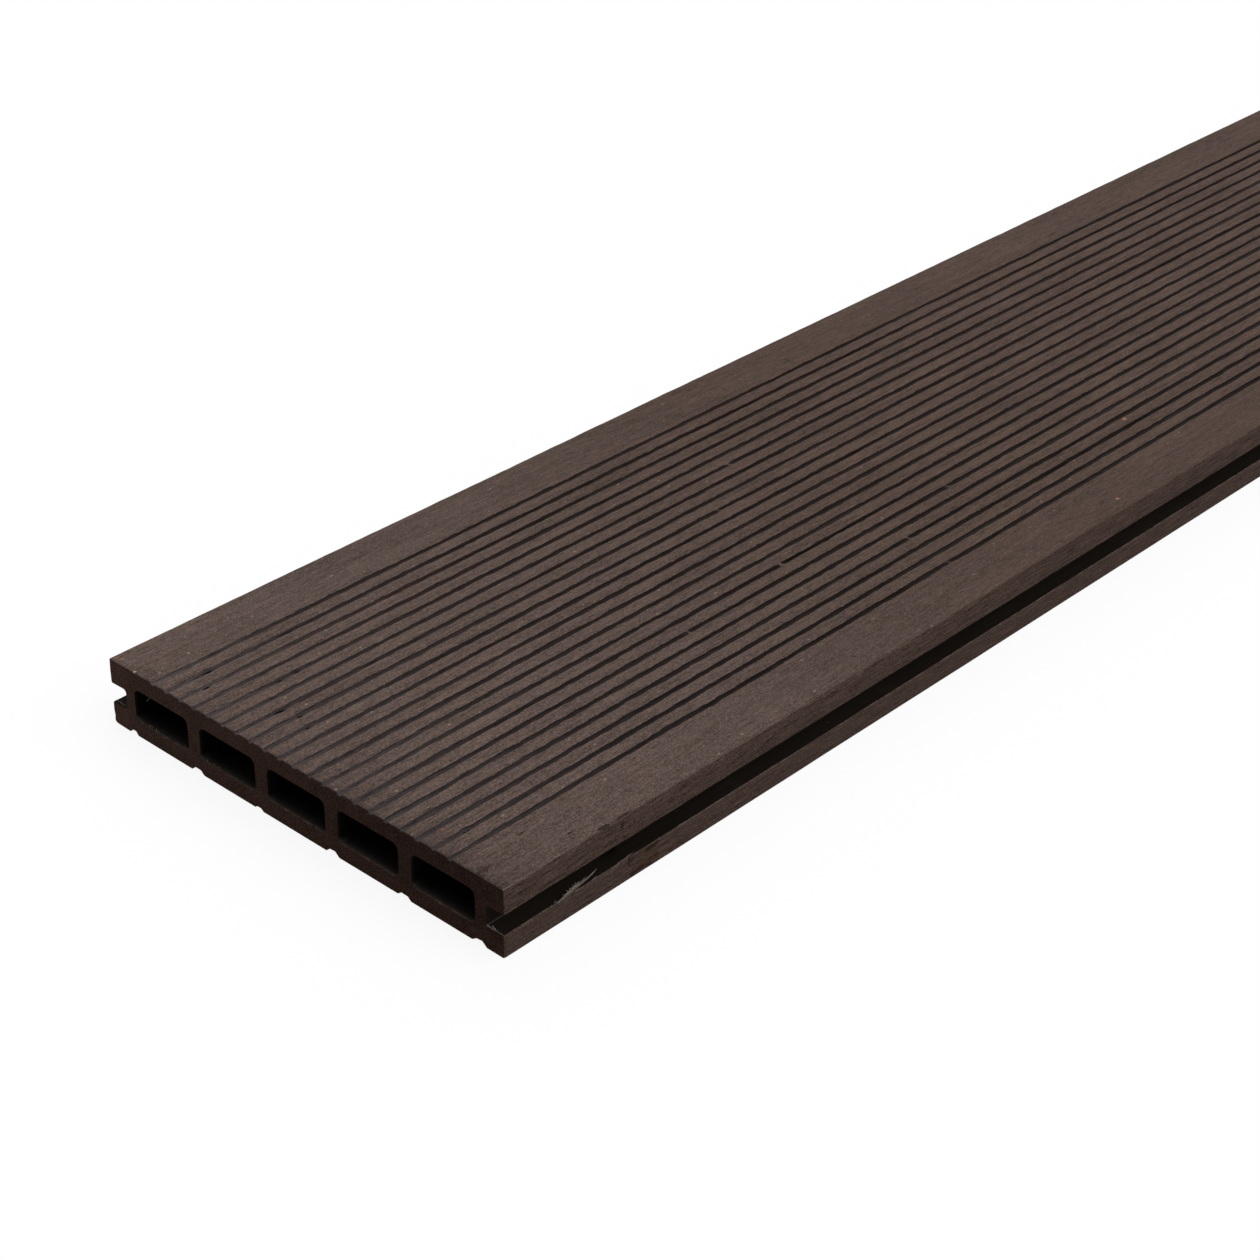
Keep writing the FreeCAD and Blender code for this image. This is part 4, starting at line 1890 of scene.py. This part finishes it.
@dataclass(frozen=True)
class Lamp:
    """One wide soft lamp, far away: where it shines from, how bright it makes white, and its width."""

    name: str
    towards: Point
    brightness: float
    width: float

    def build(self) -> bpy.types.Object:
        """Makes the lamp.

        Returns:
            The lamp, in the scene.
        """
        data = bpy.data.lights.new(self.name, "SUN")
        data.energy = self.brightness * math.pi
        data.angle = math.radians(self.width)
        made = bpy.data.objects.new(self.name, data)
        made.rotation_mode = "QUATERNION"
        made.rotation_quaternion = Vector(self.towards).to_track_quat("Z", "Y")
        bpy.context.scene.collection.objects.link(made)
        return made


@dataclass(frozen=True)
class Studio:
    """The floor, the light and the camera."""

    eye: Point = (-1.429921, -0.406785, 0.372631)
    aim: Point = (-1.001106, -0.014872, 0.019)
    roll: float = 0.7377
    lens: float = 77.06
    sensor: float = 36.0
    floor_reach: float = 40.0
    floor_gap: float = 0.1 * MM
    ambient: float = 0.28
    lamps: tuple[Lamp, ...] = (
        Lamp("key_softbox", (0.25, -0.55, 0.80), 0.62, 60.0),
        Lamp("back_softbox", (0.55, 0.55, 0.62), 0.36, 60.0),
    )

    def _floor(self) -> None:
        """The floor, a hair below the board."""
        reach = self.floor_reach
        mesh = bpy.data.meshes.new("floor")
        corners = [(-reach, -reach), (reach, -reach), (reach, reach), (-reach, reach)]
        mesh.from_pydata([(x, y, -self.floor_gap) for x, y in corners], [], [(0, 1, 2, 3)])
        mesh.materials.append(FloorFinish().material())
        floor = bpy.data.objects.new("floor", mesh)
        bpy.context.scene.collection.objects.link(floor)

    def _world(self) -> None:
        """White to look at, and dim as a light."""
        world = bpy.data.worlds.new("studio")
        world.use_nodes = True
        wiring = Wiring(world.node_tree)
        white = (1.0, 1.0, 1.0)
        lit = wiring.node("ShaderNodeBackground", None, {"Color": white, "Strength": self.ambient})
        seen = wiring.node("ShaderNodeBackground", None, {"Color": white, "Strength": 1.0})
        both = wiring.node("ShaderNodeMixShader", None, {0: wiring.seen_plainly(), 1: lit, 2: seen})
        wiring.node("ShaderNodeOutputWorld", None, {"Surface": both})
        bpy.context.scene.world = world

    def _camera(self) -> None:
        """The camera where the photograph was taken from."""
        data = bpy.data.cameras.new("camera")
        data.lens = self.lens
        data.sensor_width = self.sensor
        data.sensor_fit = "HORIZONTAL"
        camera = bpy.data.objects.new("camera", data)
        sight = Vector(self.aim) - Vector(self.eye)
        turn = sight.to_track_quat("-Z", "Y").to_matrix().to_4x4()
        roll = Matrix.Rotation(math.radians(self.roll), 4, "Z")
        camera.matrix_world = Matrix.Translation(self.eye) @ turn @ roll
        bpy.context.scene.collection.objects.link(camera)
        bpy.context.scene.camera = camera

    def build(self) -> None:
        """Makes the studio."""
        self._floor()
        self._world()
        for lamp in self.lamps:
            lamp.build()
        self._camera()
        bpy.context.scene.view_settings.view_transform = "Standard"
        log.info("studio: %d lamps", len(self.lamps))


def main() -> None:
    """Builds the board and the studio in order."""
    logging.basicConfig(level=logging.INFO, format="%(name)s: %(message)s")
    sizes = BoardSizes.of_node(BOARD_NODE)
    finishes = [
        DeckFinish(sizes.thickness, sizes.half_length, sizes.half_width, sizes.groove_margin),
        SideFinish(half_length=sizes.half_length, right=-sizes.half_width),
        SlotFinish(sizes.half_length, sizes.slot_back, sizes.slot_depth, sizes.lower_lip),
        UndersideFinish(),
        SawnEndFinish(half_width=sizes.half_width),
        ChamberFinish(sizes.half_length, sizes.lower_wall),
        WornEdgeHighlightFinish(),
    ]
    Board(sizes).build(finishes)
    LipSplinter(sizes).build(TornFibreFinish())
    SawBurrs(sizes).build(SawBurrFinish())
    Studio().build()


if __name__ == "__main__":
    main()
